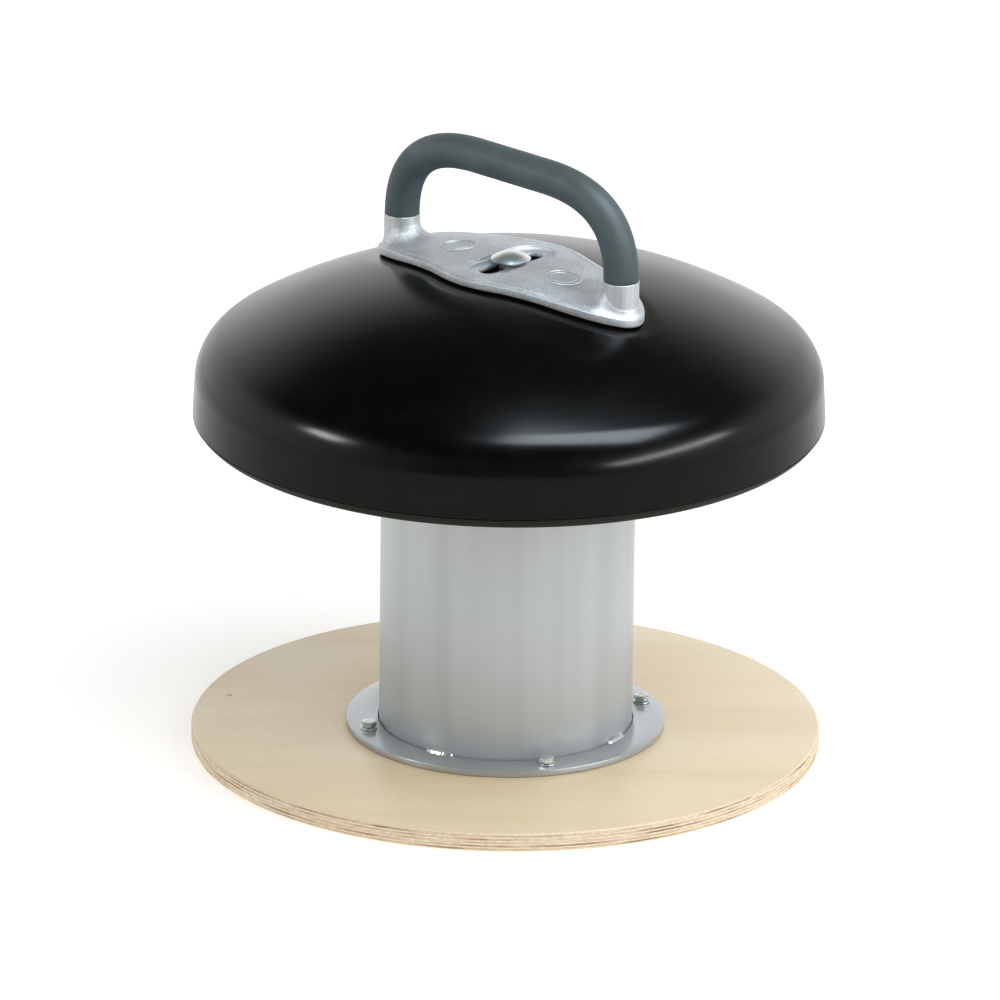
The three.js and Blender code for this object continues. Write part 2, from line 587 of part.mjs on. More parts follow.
function carriageBolt() {
  const top = HEAD_UNDERSIDE + CARRIAGE_HEAD_RIM;
  const crown = [];
  for (let i = 0; i < CROWN_STEPS; i += 1) {
    const angle = (QUARTER_TURN * i) / CROWN_STEPS;
    crown.push([CARRIAGE_HEAD_RADIUS * Math.cos(angle), top + CARRIAGE_HEAD_CROWN * Math.sin(angle)]);
  }
  const apex = [0, top + CARRIAGE_HEAD_CROWN];
  const rim = [CARRIAGE_HEAD_RADIUS, HEAD_UNDERSIDE];
  const head = turned([[0, HEAD_UNDERSIDE], rim, ...crown, apex], HEAD_SIDES);
  const neckShape = new THREE.BoxGeometry(CARRIAGE_NECK, CARRIAGE_NECK, CARRIAGE_NECK_LENGTH);
  const neck = solid(neckShape.translate(0, 0, HEAD_UNDERSIDE - CARRIAGE_NECK_LENGTH / 2 + JOIN));
  const shank = upright(M16_RADIUS, HEAD_UNDERSIDE - CARRIAGE_BOLT_LENGTH, HEAD_UNDERSIDE, M16_SIDES);
  return head.add(neck).add(shank);
}
addPiece('carriage_bolt', carriageBolt(), zinc);

function spacerWasher() {
  const bottom = POCKET_FLOOR + GAP;
  const disc = upright(SPACER_RADIUS, bottom, bottom + SPACER_THICKNESS, POST_SIDES);
  const side = CARRIAGE_NECK + 2 * GAP;
  const hole = new THREE.BoxGeometry(side, side, SPACER_THICKNESS + 2 * OVERCUT);
  return disc.subtract(solid(hole.translate(0, 0, bottom + SPACER_THICKNESS / 2)));
}
addPiece('spacer_washer', spacerWasher(), zinc);

const clampWasherBottom = CLAMP_WASHER_TOP - CLAMP_WASHER_THICKNESS;
const clampRadii = [M16_BORE_RADIUS, CLAMP_WASHER_RADIUS];
addPiece('clamp_washer', ring(...clampRadii, clampWasherBottom, CLAMP_WASHER_TOP, HEAD_SIDES), zinc);

const nutBottom = CLAMP_NUT_TOP - M16_NUT_HEIGHT;
const nutBlank = upright(hexRadius(M16_HEX_FLATS), nutBottom, CLAMP_NUT_TOP, 6);
const nutBore = upright(M16_BORE_RADIUS, nutBottom - OVERCUT, CLAMP_NUT_TOP + OVERCUT, M16_SIDES);
addPiece('clamp_nut', nutBlank.subtract(nutBore), zinc);

export default group;
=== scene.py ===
"""Looks of a gymnastics mushroom trainer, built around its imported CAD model.

Metres, +Z up. The origin is the base's centre at floor level, and X runs along the pommel's grip.
"""
import math

import bmesh
import bpy
import numpy as np
from mathutils import Matrix, Vector, noise
from mathutils.geometry import delaunay_2d_cdt


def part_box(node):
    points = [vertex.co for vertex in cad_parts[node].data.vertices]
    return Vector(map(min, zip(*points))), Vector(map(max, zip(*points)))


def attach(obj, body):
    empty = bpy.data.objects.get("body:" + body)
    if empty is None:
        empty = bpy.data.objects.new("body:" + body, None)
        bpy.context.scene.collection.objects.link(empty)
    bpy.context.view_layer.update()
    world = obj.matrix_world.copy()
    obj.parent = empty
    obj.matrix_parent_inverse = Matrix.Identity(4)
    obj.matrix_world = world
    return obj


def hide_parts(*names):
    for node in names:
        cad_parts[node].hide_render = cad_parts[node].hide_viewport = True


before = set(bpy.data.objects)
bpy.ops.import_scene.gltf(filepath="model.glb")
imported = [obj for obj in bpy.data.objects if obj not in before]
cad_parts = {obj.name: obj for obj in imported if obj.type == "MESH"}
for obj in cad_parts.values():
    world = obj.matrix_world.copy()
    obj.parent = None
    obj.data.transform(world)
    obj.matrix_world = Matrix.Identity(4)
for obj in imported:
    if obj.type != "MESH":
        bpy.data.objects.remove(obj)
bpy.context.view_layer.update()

MM = 0.001
TAU = 2 * math.pi


def low(node):
    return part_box(node)[0]


def high(node):
    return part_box(node)[1]


def middle(node):
    lo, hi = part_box(node)
    return (lo + hi) / 2


def reach_of(node):
    """Half the width of a round part that stands away from the axis."""
    lo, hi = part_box(node)
    return (hi - lo).x / 2


# ---------------------------------------------------------------- dimensions of the CAD model

BAND_TOP_RADIUS = 298.3 * MM
BAND_TOP_Z = 364 * MM
SHOULDER_RADIUS = 50 * MM
SHOULDER_SLOPE = 0.6
SKIN_THICKNESS = 2.5 * MM
FOAM_DEPTHS = (2.8 * MM, 24.8 * MM)
CORE_DEPTHS = (25.1 * MM, 39.1 * MM)
NECK_HOLE_RADIUS = 13.8 * MM
LIP_RADIUS = 278 * MM
STAPLE_RADIUS = 284 * MM

TUBE_WALL = 4 * MM
BOARD_EDGE_ROUND = 3 * MM
HOLE_EDGE_ROUND = 2 * MM
EDGE_GRAIN_NORMAL = 0.85  # board faces that are less level than this show their plies
ACCESS_HOLE_RADIUS = 75 * MM
PAD_THICKNESS = 4 * MM
FLANGE_BORE_RADIUS = 121.6 * MM
FLANGE_HOLE_RADIUS = 4.6 * MM
TEE_NUT_SINK = 2 * MM
WELD_LENGTH = 32 * MM
REBATE_RADIUS = 288.6 * MM

M8_RADIUS = 4 * MM
M8_FLATS = 13 * MM
M8_HEAD_HEIGHT = 5.3 * MM
M16_RADIUS = 8 * MM
M16_FLATS = 24 * MM
M16_PITCH = 2 * MM

PLATE_QUARTER = [
    (164, 0), (160, 12.5), (150.5, 22.5), (135, 33), (110, 43.5), (80, 51), (50, 58.5), (24, 66), (0, 69),
]
PLATE_BOTTOM_OFFSET = 1.6 * MM
PLATE_TOP_OFFSET = 8.6 * MM
POST_REACH = 141.7 * MM
POST_RADIUS = 17.2 * MM
POCKET_LENGTH = 102 * MM
POCKET_WIDTH = 44 * MM
POCKET_DEPTH = 4.5 * MM
SLOT_LENGTH = 80 * MM
SLOT_WIDTH = 18 * MM
GRIP_SEAT_DEPTH = 20 * MM
GRIP_CORNER_PULL = (0.78, 0.56)
GRIP_FLAT_HALF = 43.2 * MM
HEAD_RIM = 1.3 * MM
NECK_SIDE = 16 * MM
CORE_BORE = 11.3 * MM
SCREW_BORE = 4.3 * MM
SCREW_HEAD_BORE = 6.8 * MM

SEAM_RADIUS = high("dome_cover").x
SEAM_Z = low("dome_cover").z
CROWN_Z = high("dome_cover").z
POST_TOP = low("grip_sleeve").z
GRIP_RADIUS = high("grip_sleeve").y
BORE_GAP = 0.3 * MM

# ---------------------------------------------------------------- dome surface

SHOULDER_CENTRE = BAND_TOP_RADIUS - SHOULDER_RADIUS
SHOULDER_END = math.pi / 2 - math.atan(SHOULDER_SLOPE)
CROWN_RADIUS = SHOULDER_CENTRE + SHOULDER_RADIUS * math.cos(SHOULDER_END)
CROWN_DROP = CROWN_Z - BAND_TOP_Z - SHOULDER_RADIUS * math.sin(SHOULDER_END)
CROWN_POWER = SHOULDER_SLOPE * CROWN_RADIUS / CROWN_DROP
BAND_SLOPE = (SEAM_RADIUS - BAND_TOP_RADIUS) / (BAND_TOP_Z - SEAM_Z)


def dome_slope(radius):
    return SHOULDER_SLOPE * (radius / CROWN_RADIUS) ** (CROWN_POWER - 1)


def dome_height(radius, offset=0.0):
    """Level of the dome's crown, moved outward by an offset, at a distance from the axis."""
    level = CROWN_Z - CROWN_DROP * (radius / CROWN_RADIUS) ** CROWN_POWER
    return level + offset * math.hypot(1, dome_slope(radius))


def dome_samples(start, crown_steps, shoulder_steps, band_steps):
    """(point, outward normal) pairs in the r-z plane, from radius start on the crown down to the seam."""
    samples = []
    for i in range(crown_steps):
        radius = start + (CROWN_RADIUS - start) * i / crown_steps
        normal = Vector((dome_slope(radius), 1)).normalized()
        samples.append((Vector((radius, dome_height(radius))), normal))
    for i in range(shoulder_steps + 1):
        angle = SHOULDER_END * (1 - i / shoulder_steps)
        normal = Vector((math.cos(angle), math.sin(angle)))
        samples.append((Vector((SHOULDER_CENTRE, BAND_TOP_Z)) + SHOULDER_RADIUS * normal, normal))
    for i in range(1, band_steps + 1):
        share = i / band_steps
        point = Vector((BAND_TOP_RADIUS + (SEAM_RADIUS - BAND_TOP_RADIUS) * share, 0))
        point.y = BAND_TOP_Z + (SEAM_Z - BAND_TOP_Z) * share
        samples.append((point, Vector((1, BAND_SLOPE)).normalized()))
    return samples


def dome_shell(outer, inner, start, bottom, steps):
    """Closed r-z outline of a layer between two depths under the dome's surface, down to a level."""
    samples = dome_samples(start, *steps)

    def edge(depth):
        points = [p - depth * n for p, n in samples]
        points = [p for p in points if p.y > bottom + 1e-6 and p.x >= start - 1e-6]
        foot = Vector((points[-1].x + (points[-1].y - bottom) * BAND_SLOPE, bottom))
        return [Vector((start, points[0].y)), *points[1:], foot]

    return edge(outer) + edge(inner)[::-1]


# ---------------------------------------------------------------- mesh helpers

LEVEL_NORMAL = 0.99999


def placed(name, data):
    obj = bpy.data.objects.new(name, data)
    bpy.context.scene.collection.objects.link(obj)
    return obj


def add_piece(name, verts, faces, material, body, slot, replaced=(), crease=32):
    mesh = bpy.data.meshes.new(name)
    mesh.from_pydata([tuple(v) for v in verts], [], faces)
    mesh.materials.append(material)
    obj = placed(name, mesh)
    tidy_mesh(obj, crease)
    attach(obj, body)
    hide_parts(*replaced)
    return obj


def tidy_mesh(obj, crease=32):
    """Turns a closed mesh's faces outward and shades it smooth, apart from its creases and level faces."""
    bm = bmesh.new()
    bm.from_mesh(obj.data)
    bmesh.ops.remove_doubles(bm, verts=bm.verts, dist=1e-7)
    bmesh.ops.recalc_face_normals(bm, faces=bm.faces)
    bm.to_mesh(obj.data)
    bm.free()
    obj.data.shade_smooth()
    for face in obj.data.polygons:
        face.use_smooth = abs(face.normal.z) < LEVEL_NORMAL
    obj.data.set_sharp_from_angle(angle=math.radians(crease))


def value(quantity, angle):
    return quantity(angle) if callable(quantity) else quantity


def turned(rings, count, loop=True):
    """A stack of (radius, z) rings about Z, each value a number or a function of the angle.

    The last ring joins the first if loop is set, and otherwise both ends are closed with a face."""
    verts = []
    for radius, z in rings:
        for i in range(count):
            angle = TAU * i / count
            r = value(radius, angle)
            verts.append((r * math.cos(angle), r * math.sin(angle), value(z, angle)))
    faces = []
    total = len(rings)
    for k in range(total if loop else total - 1):
        a, b = k * count, (k + 1) % total * count
        for i in range(count):
            j = (i + 1) % count
            faces.append((a + i, a + j, b + j, b + i))
    if not loop:
        faces.append(tuple(range(count))[::-1])
        faces.append(tuple(range((total - 1) * count, total * count)))
    return verts, faces


def arc(cx, cz, radius, start, end, steps):
    """Points of an arc in the r-z plane, with its angles in degrees."""
    angles = [math.radians(start + (end - start) * i / steps) for i in range(steps + 1)]
    return [(cx + radius * math.cos(a), cz + radius * math.sin(a)) for a in angles]


def outer_side(radius, bottom, top, edge, steps=3):
    """The outside of a flat ring, from below to above, with both edges rounded."""
    x = radius - edge
    return arc(x, bottom + edge, edge, -90, 0, steps) + arc(x, top - edge, edge, 0, 90, steps)


def inner_side(radius, bottom, top, edge, steps=3):
    """The inside of a flat ring, from above to below, with both edges rounded."""
    x = radius + edge
    return arc(x, top - edge, edge, 90, 180, steps) + arc(x, bottom + edge, edge, 180, 270, steps)


def rounded_ring(inner, outer, bottom, top, edge, steps=3):
    """Closed outline of a flat ring whose four edges are rounded."""
    return outer_side(outer, bottom, top, edge, steps) + inner_side(inner, bottom, top, edge, steps)


def moved(shape, matrix):
    verts, faces = shape
    return [matrix @ Vector(v) for v in verts], faces


def merged(shapes):
    verts, faces = [], []
    for more_verts, more_faces in shapes:
        start = len(verts)
        verts += list(more_verts)
        faces += [tuple(start + i for i in face) for face in more_faces]
    return verts, faces


def spot(node, z=0.0):
    """A move to a node's axis and a level."""
    at = middle(node)
    return Matrix.Translation((at.x, at.y, z))


def cut(obj, cutters, crease=32):
    """Takes the cutters, (vertices, faces) pairs that don't touch each other, out of a mesh."""
    mesh = bpy.data.meshes.new("cutter")
    verts, faces = merged(cutters)
    mesh.from_pydata([tuple(v) for v in verts], [], faces)
    tool = placed("cutter", mesh)
    tidy_mesh(tool)
    boolean = obj.modifiers.new("cut", "BOOLEAN")
    boolean.operation = "DIFFERENCE"
    boolean.solver = "EXACT"
    boolean.object = tool
    graph = bpy.context.evaluated_depsgraph_get()
    result = bpy.data.meshes.new_from_object(obj.evaluated_get(graph))
    obj.modifiers.clear()
    obj.data = result
    bpy.data.objects.remove(tool)
    tidy_mesh(obj, crease)


def drum(radius, bottom, top, count=48):
    return turned([(radius, bottom), (radius, top)], count, loop=False)


# ---------------------------------------------------------------- material helpers

class Nodes:
    """A node tree with short ways to add to it."""

    def __init__(self, tree):
        self.tree = tree

    def add(self, kind, inputs=None, **settings):
        node = self.tree.nodes.new(kind)
        for key, setting in settings.items():
            setattr(node, key, setting)
        for key, source in (inputs or {}).items():
            self.feed(node.inputs[key], source)
        return node

    def feed(self, socket, source):
        if isinstance(source, bpy.types.NodeSocket):
            self.tree.links.new(source, socket)
        else:
            socket.default_value = source

    def math(self, operation, *sources, clamp=False):
        node = self.add("ShaderNodeMath", operation=operation, use_clamp=clamp)
        for socket, source in zip(node.inputs, sources):
            self.feed(socket, source)
        return node.outputs[0]

    def ramp(self, source, stops):
        node = self.add("ShaderNodeValToRGB", {"Fac": source})
        elements = node.color_ramp.elements
        while len(elements) < len(stops):
            elements.new(0.5)
        for element, (position, color) in zip(elements, stops):
            element.position = position
            element.color = (*color, 1)
        return node.outputs[0]


class Surface(Nodes):
    """A Principled material whose procedural nodes read object coordinates, which are the row frame's."""

    def __init__(self, name, roughness, metallic=0.0, **sockets):
        self.material = bpy.data.materials.new(name)
        self.material.use_nodes = True
        super().__init__(self.material.node_tree)
        self.shader = self.tree.nodes["Principled BSDF"]
        self.shader.inputs["Roughness"].default_value = roughness
        self.shader.inputs["Metallic"].default_value = metallic
        for socket, setting in sockets.items():
            self.shader.inputs[socket.replace("_", " ")].default_value = setting
        self.place = self.add("ShaderNodeTexCoord").outputs["Object"]

    def stretched(self, scale, turn=0.0):
        """Object coordinates turned back about Z, then stretched, so a grain can run in any direction."""
        inputs = {"Vector": self.place, "Rotation": (0, 0, turn), "Scale": tuple(1 / c for c in scale)}
        return self.add("ShaderNodeMapping", inputs, vector_type="TEXTURE").outputs[0]

    def noise(self, scale, detail=3.0, vector=None, roughness=0.5, distortion=0.0):
        inputs = {"Vector": vector or self.place, "Scale": scale, "Detail": detail}
        inputs["Roughness"] = roughness
        inputs["Distortion"] = distortion
        return self.add("ShaderNodeTexNoise", inputs).outputs[0]

    def cells(self, scale, feature="F1", output="Distance", vector=None):
        inputs = {"Vector": vector or self.place, "Scale": scale}
        return self.add("ShaderNodeTexVoronoi", inputs, feature=feature).outputs[output]

    def fit(self, source, low_in, high_in, low_out=0.0, high_out=1.0):
        inputs = {"Value": source, "From Min": low_in, "From Max": high_in}
        inputs["To Min"] = low_out
        inputs["To Max"] = high_out
        return self.add("ShaderNodeMapRange", inputs, interpolation_type="SMOOTHSTEP").outputs[0]

    def mix(self, factor, first, second, blend="MIX"):
        node = self.add("ShaderNodeMix", data_type="RGBA", blend_type=blend)
        self.feed(node.inputs["Factor"], factor)
        for socket, source in ((node.inputs[6], first), (node.inputs[7], second)):
            self.feed(socket, (*source, 1) if isinstance(source, tuple) else source)
        return node.outputs[2]

    def color(self, source):
        self.feed(self.shader.inputs["Base Color"], source)

    def rough(self, source):
        self.feed(self.shader.inputs["Roughness"], source)

    def bump(self, *layers):
        """Each layer is (height, distance in metres)."""
        normal = None
        for height, distance in layers:
            inputs = {"Height": height, "Distance": distance, "Strength": 1.0}
            if normal:
                inputs["Normal"] = normal
            normal = self.add("ShaderNodeBump", inputs).outputs[0]
        self.feed(self.shader.inputs["Normal"], normal)


GRAIN_TURN = math.radians(43)
PALE_BIRCH = (0.82, 0.70, 0.48)
WARM_BIRCH = (0.765, 0.635, 0.415)
SHADED_BIRCH = (0.60, 0.46, 0.28)
KNOT_BROWN = (0.22, 0.13, 0.07)


def veneer(name, roughness):
    """Rotary-cut birch under a clear lacquer: pale, with faint long figure and short fine pores."""
    s = Surface(name, roughness, Coat_Weight=0.15, Coat_Roughness=0.25)
    figure = s.noise(1, 5, s.stretched((1.6, 11, 4), GRAIN_TURN), 0.55, 0.6)
    tone = s.ramp(s.fit(figure, 0.25, 0.75), [(0, WARM_BIRCH), (0.55, PALE_BIRCH), (1, (0.84, 0.73, 0.515))])
    pores = s.noise(1, 2, s.stretched((70, 900, 70), GRAIN_TURN), 0.6)
    fleck = s.fit(pores, 0.58, 0.72, 0, 0.26)
    knots = s.fit(s.cells(9), 0.035, 0.02, 0, 0.7)
    s.color(s.mix(knots, s.mix(fleck, tone, SHADED_BIRCH), KNOT_BROWN))
    cloud = s.noise(7, 3)
    s.rough(s.fit(cloud, 0.3, 0.7, roughness - 0.05, roughness + 0.07))
    s.bump((pores, 0.03 * MM), (figure, 0.04 * MM))
    return s.material


def ply_edge(name, bottom, top, plies, reach):
    """The board's cut edge: long-grain and end-grain plies in turn, with glue lines and open gaps."""
    s = Surface(name, 0.6)
    axes = s.add("ShaderNodeSeparateXYZ", {"Vector": s.place}).outputs
    along = s.math("MULTIPLY", s.math("ARCTAN2", axes[1], axes[0]), reach)
    wander = s.noise(9, 2)
    level = s.math("ADD", axes[2], s.math("MULTIPLY", s.math("SUBTRACT", wander, 0.5), 0.35 * MM))
    layer = s.math("MULTIPLY", s.math("SUBTRACT", level, bottom), plies / (top - bottom))
    parity = s.math("MODULO", s.math("FLOOR", layer), 2.0)
    flat = s.add("ShaderNodeCombineXYZ", {"X": along, "Y": s.math("FLOOR", layer), "Z": 0.0}).outputs[0]
    patch = s.add("ShaderNodeMapping", {"Vector": flat, "Scale": (14, 3.7, 1)}).outputs[0]
    stain = s.noise(1, 3, patch, 0.6)
    streak = s.add("ShaderNodeMapping", {"Vector": flat, "Scale": (160, 5.1, 1)}).outputs[0]
    fibre = s.noise(1, 2, streak, 0.6)
    long_grain = s.ramp(s.fit(fibre, 0.3, 0.7), [(0, (0.72, 0.58, 0.39)), (1, (0.86, 0.77, 0.60))])
    browns = [(0, (0.62, 0.44, 0.27)), (0.6, (0.42, 0.24, 0.13)), (1, (0.20, 0.10, 0.05))]
    end_grain = s.ramp(s.fit(stain, 0.35, 0.68), browns)
    wood = s.mix(s.math("MULTIPLY", parity, s.fit(stain, 0.32, 0.66, 0.18, 0.88)), long_grain, end_grain)
    within = s.math("FRACT", layer)
    seam = s.math("ABSOLUTE", s.math("SUBTRACT", within, 0.5))
    glue = s.fit(seam, 0.38, 0.49, 0, 0.7)
    s.color(s.mix(glue, wood, (0.34, 0.17, 0.09)))
    s.bump((s.math("MULTIPLY", parity, fibre), 0.25 * MM), (fibre, 0.15 * MM))
    return s.material


def silver_paint(name, roughness, metallic, tone, sway):
    """Silver powder coat on rolled steel: fine flake and peel, with a slow change of tone along the tube."""
    s = Surface(name, roughness, metallic)
    drift = s.noise(1, 2, s.stretched((26, 26, 0.8)))
    flake = s.noise(1900, 2, None, 0.7)
    dark = tuple((1 - sway) * c for c in tone)
    light = tuple((1 + sway) * c for c in tone)
    even = s.mix(s.fit(drift, 0.3, 0.7), dark, light)
    s.color(s.mix(s.fit(flake, 0.6, 0.8, 0, 0.25), even, (0.72, 0.74, 0.76)))
    s.rough(s.fit(drift, 0.3, 0.7, roughness - 0.02, roughness + 0.03))
    s.bump((flake, 0.010 * MM), (s.noise(260, 3), 0.006 * MM))
    return s.material


def cast_paint(name):
    """Silver paint on a sand casting: blotchy grain under a soft sheen, with a painted highlight on the
    grain's raised specks and painted shade in its pits. The posts' sides are bright.
    """
    s = Surface(name, 0.42, 0.62)
    grit_and_painted_light = s.noise(620, 3, None, 0.7)
    sand = s.noise(1500, 2)
    cloud = s.noise(38, 4)
    x, y, _ = s.add("ShaderNodeSeparateXYZ", {"Vector": s.place}).outputs
    offset = s.math("SUBTRACT", s.math("ABSOLUTE", x), POST_REACH)
    reach = s.math("SQRT", s.math("ADD", s.math("POWER", offset, 2.0), s.math("POWER", y, 2.0)))
    turned_side = s.fit(reach, POST_RADIUS + 0.15 * MM, POST_RADIUS + 0.5 * MM, 1, 0)
    streaks = s.noise(1, 3, s.stretched((380, 380, 14)), 0.6)
    body = s.mix(s.fit(cloud, 0.3, 0.7), (0.37, 0.39, 0.405), (0.47, 0.495, 0.515))
    # painted highlight: the grit's raised specks are coloured lighter
    body = s.mix(s.fit(grit_and_painted_light, 0.50, 0.68, 0, 0.75), body, (0.66, 0.69, 0.71))
    # painted shade: the grit's pits, which the bump lowers, are coloured darker
    body = s.mix(s.fit(grit_and_painted_light, 0.48, 0.30, 0, 0.6), body, (0.24, 0.25, 0.26))
    bright = s.mix(s.fit(streaks, 0.3, 0.7), (0.45, 0.465, 0.47), (0.53, 0.545, 0.55))
    s.color(s.mix(turned_side, body, bright))
    s.rough(s.math("ADD", s.fit(cloud, 0.3, 0.7, 0.42, 0.52), s.fit(grit_and_painted_light, 0.3, 0.7, -0.05, 0.05)))
    rest = s.math("SUBTRACT", 1.0, turned_side)
    s.bump((s.math("MULTIPLY", grit_and_painted_light, rest), 0.55 * MM), (s.math("MULTIPLY", sand, rest), 0.05 * MM),
           (s.math("MULTIPLY", streaks, turned_side), 0.015 * MM))
    return s.material


def zinc_plate(name):
    """Bright zinc plate with a faint green and yellow cast and fine tumbling marks."""
    s = Surface(name, 0.3, 1.0)
    film = s.noise(60, 2)
    marks = s.noise(900, 3, None, 0.7)
    casts = [(0, (0.54, 0.595, 0.585)), (0.5, (0.62, 0.665, 0.655)), (1, (0.63, 0.64, 0.59))]
    s.color(s.ramp(s.fit(film, 0.3, 0.7), casts))
    s.rough(s.math("ADD", s.fit(film, 0.3, 0.7, 0.30, 0.38), s.fit(marks, 0.4, 0.7, 0, 0.08)))
    s.bump((marks, 0.03 * MM))
    return s.material


def black_skin(name):
    """Smooth moulded black skin with a satin gloss, faint handling marks and very fine pores."""
    s = Surface(name, 0.21, 0.0, Specular_IOR_Level=0.13)
    smudge = s.noise(6, 4, None, 0.55, 0.4)
    haze = s.noise(45, 3)
    pores = s.cells(1300, "SMOOTH_F1")
    s.color(s.mix(s.fit(haze, 0.35, 0.75), (0.0016, 0.0016, 0.0019), (0.0032, 0.0031, 0.0033)))
    s.rough(s.fit(smudge, 0.3, 0.7, 0.19, 0.235))
    s.bump((pores, 0.006 * MM), (s.noise(16, 1), 0.03 * MM))
    return s.material


def dull_rubber(name, tone, roughness, grain, bump, gloss=0.5):
    """Moulded rubber: matte, mottled, with a fine open grain."""
    s = Surface(name, roughness, Specular_IOR_Level=gloss)
    mottle = s.noise(30, 4)
    pores = s.noise(grain, 3, None, 0.65)
    darker = tuple(0.82 * c for c in tone)
    lighter = tuple(1.14 * c for c in tone)
    s.color(s.mix(s.fit(mottle, 0.3, 0.7), darker, lighter))
    s.rough(s.fit(pores, 0.3, 0.7, roughness - 0.06, roughness + 0.08))
    s.bump((pores, bump))
    return s.material


def bonded_foam(name):
    """Rebonded foam: pressed chips of several colours."""
    s = Surface(name, 0.95)
    chips = s.cells(90, "F1", "Color")
    shade = s.add("ShaderNodeSeparateColor", {"Color": chips}).outputs[0]
    s.color(s.ramp(shade, [(0, (0.66, 0.55, 0.30)), (0.5, (0.52, 0.44, 0.30)), (1, (0.32, 0.42, 0.48))]))
    s.bump((s.cells(90), 0.6 * MM), (s.noise(900), 0.2 * MM))
    return s.material


def beech(name):
    """Moulded beech veneer with short dark flecks."""
    s = Surface(name, 0.6)
    figure = s.noise(1, 4, s.stretched((8, 60, 60)), 0.6)
    fleck = s.noise(1, 2, s.stretched((120, 700, 700)), 0.6)
    tone = s.ramp(s.fit(figure, 0.3, 0.7), [(0, (0.42, 0.27, 0.15)), (1, (0.58, 0.40, 0.25))])
    s.color(s.mix(s.fit(fleck, 0.6, 0.7, 0, 0.5), tone, (0.28, 0.16, 0.08)))
    s.bump((figure, 0.1 * MM))
    return s.material


BOARD_TOP = high("base_board").z
BOARD_BOTTOM = low("base_board").z
BASE_RADIUS = high("base_board").x
HEAD_BOTTOM = low("head_board").z

PLIES = 11
base_face = veneer("base_veneer", 0.38)
base_rim = ply_edge("base_plies", BOARD_BOTTOM, BOARD_TOP, PLIES, BASE_RADIUS)
head_face = veneer("head_veneer", 0.5)
column_paint = silver_paint("column_paint", 0.38, 0.16, (0.445, 0.475, 0.50), 0.065)
flange_paint = silver_paint("flange_paint", 0.21, 0.42, (0.40, 0.43, 0.455), 0.015)
casting = cast_paint("cast_paint")
zinc = zinc_plate("zinc_plate")
skin = black_skin("black_skin")
trim_rubber = dull_rubber("trim_rubber", (0.010, 0.0095, 0.0075), 0.55, 1500, 0.03 * MM, 0.10)
pad_rubber = dull_rubber("pad_rubber", (0.03, 0.03, 0.03), 0.8, 900, 0.08 * MM)
grip_rubber = dull_rubber("grip_rubber", (0.056, 0.082, 0.088), 0.6, 1700, 0.035 * MM, 0.35)
underlay_rubber = dull_rubber("underlay_rubber", (0.12, 0.08, 0.045), 0.75, 900, 0.06 * MM)
foam = bonded_foam("bonded_foam")
core_wood = beech("beech_veneer")

# ---------------------------------------------------------------- plate outline

def catmull_rom(points, steps):
    """A smooth closed curve through the points, with equal numbers of steps between them."""
    curve = []
    total = len(points)
    for i in range(total):
        p0, p1, p2, p3 = (Vector(points[(i + k - 1) % total]) for k in range(4))
        knots = [0.0]
        for a, b in ((p0, p1), (p1, p2), (p2, p3)):
            knots.append(knots[-1] + math.sqrt((b - a).length))
        t0, t1, t2, t3 = knots
        for k in range(steps):
            t = t1 + (t2 - t1) * k / steps
            a1 = ((t1 - t) * p0 + (t - t0) * p1) / (t1 - t0)
            a2 = ((t2 - t) * p1 + (t - t1) * p2) / (t2 - t1)
            a3 = ((t3 - t) * p2 + (t - t2) * p3) / (t3 - t2)
            b1 = ((t2 - t) * a1 + (t - t0) * a2) / (t2 - t0)
            b2 = ((t3 - t) * a2 + (t - t1) * a3) / (t3 - t1)
            curve.append(((t2 - t) * b1 + (t - t1) * b2) / (t2 - t1))
    return curve


def plate_outline(scale=1.0):
    quarter = [(x * MM * scale, y * MM * scale) for x, y in PLATE_QUARTER]
    upper = quarter + [(-x, y) for x, y in quarter[-2::-1]]
    lower = [(x, -y) for x, y in upper[-2:0:-1]]
    return catmull_rom(upper + lower, 12)


def inset(loop, depth):
    """The loop of points moved inward."""
    total = len(loop)
    result = []
    for i in range(total):
        tangent = (loop[(i + 1) % total] - loop[i - 1]).normalized()
        result.append(loop[i] + depth * Vector((-tangent.y, tangent.x)))
    return result


def stadium(length, width, count):
    """A slot outline with round ends, its length along Y, counter-clockwise."""
    radius = width / 2
    reach = length / 2 - radius
    perimeter = TAU * radius + 4 * reach
    points = []
    for i in range(count):
        s = perimeter * i / count
        side = s // (perimeter / 2)
        s -= side * perimeter / 2
        sign = 1 - 2 * side
        if s < math.pi * radius:
            a = s / radius
            point = Vector((radius * math.cos(a), reach + radius * math.sin(a)))
        else:
            point = Vector((-radius, reach - (s - math.pi * radius)))
        points.append(sign * point)
    return points


def signed_gap(points, loop):
    """Distance of each point from a closed loop, negative inside. Both are n x 2 arrays."""
    start = np.array([tuple(p) for p in loop])
    step = np.roll(start, -1, 0) - start
    gap = np.full(len(points), 1e9)
    inside = np.zeros(len(points), bool)
    for a, d in zip(start, step):
        rel = points - a
        t = np.clip(rel @ d / (d @ d), 0, 1)
        gap = np.minimum(gap, np.hypot(*(rel - t[:, None] * d).T))
        crosses = (a[1] > points[:, 1]) != (a[1] + d[1] > points[:, 1])
        with np.errstate(divide="ignore", invalid="ignore"):
            x = a[0] + d[0] * (points[:, 1] - a[1]) / d[1]
        inside ^= crosses & (points[:, 0] < x)
    return np.where(inside, -gap, gap)


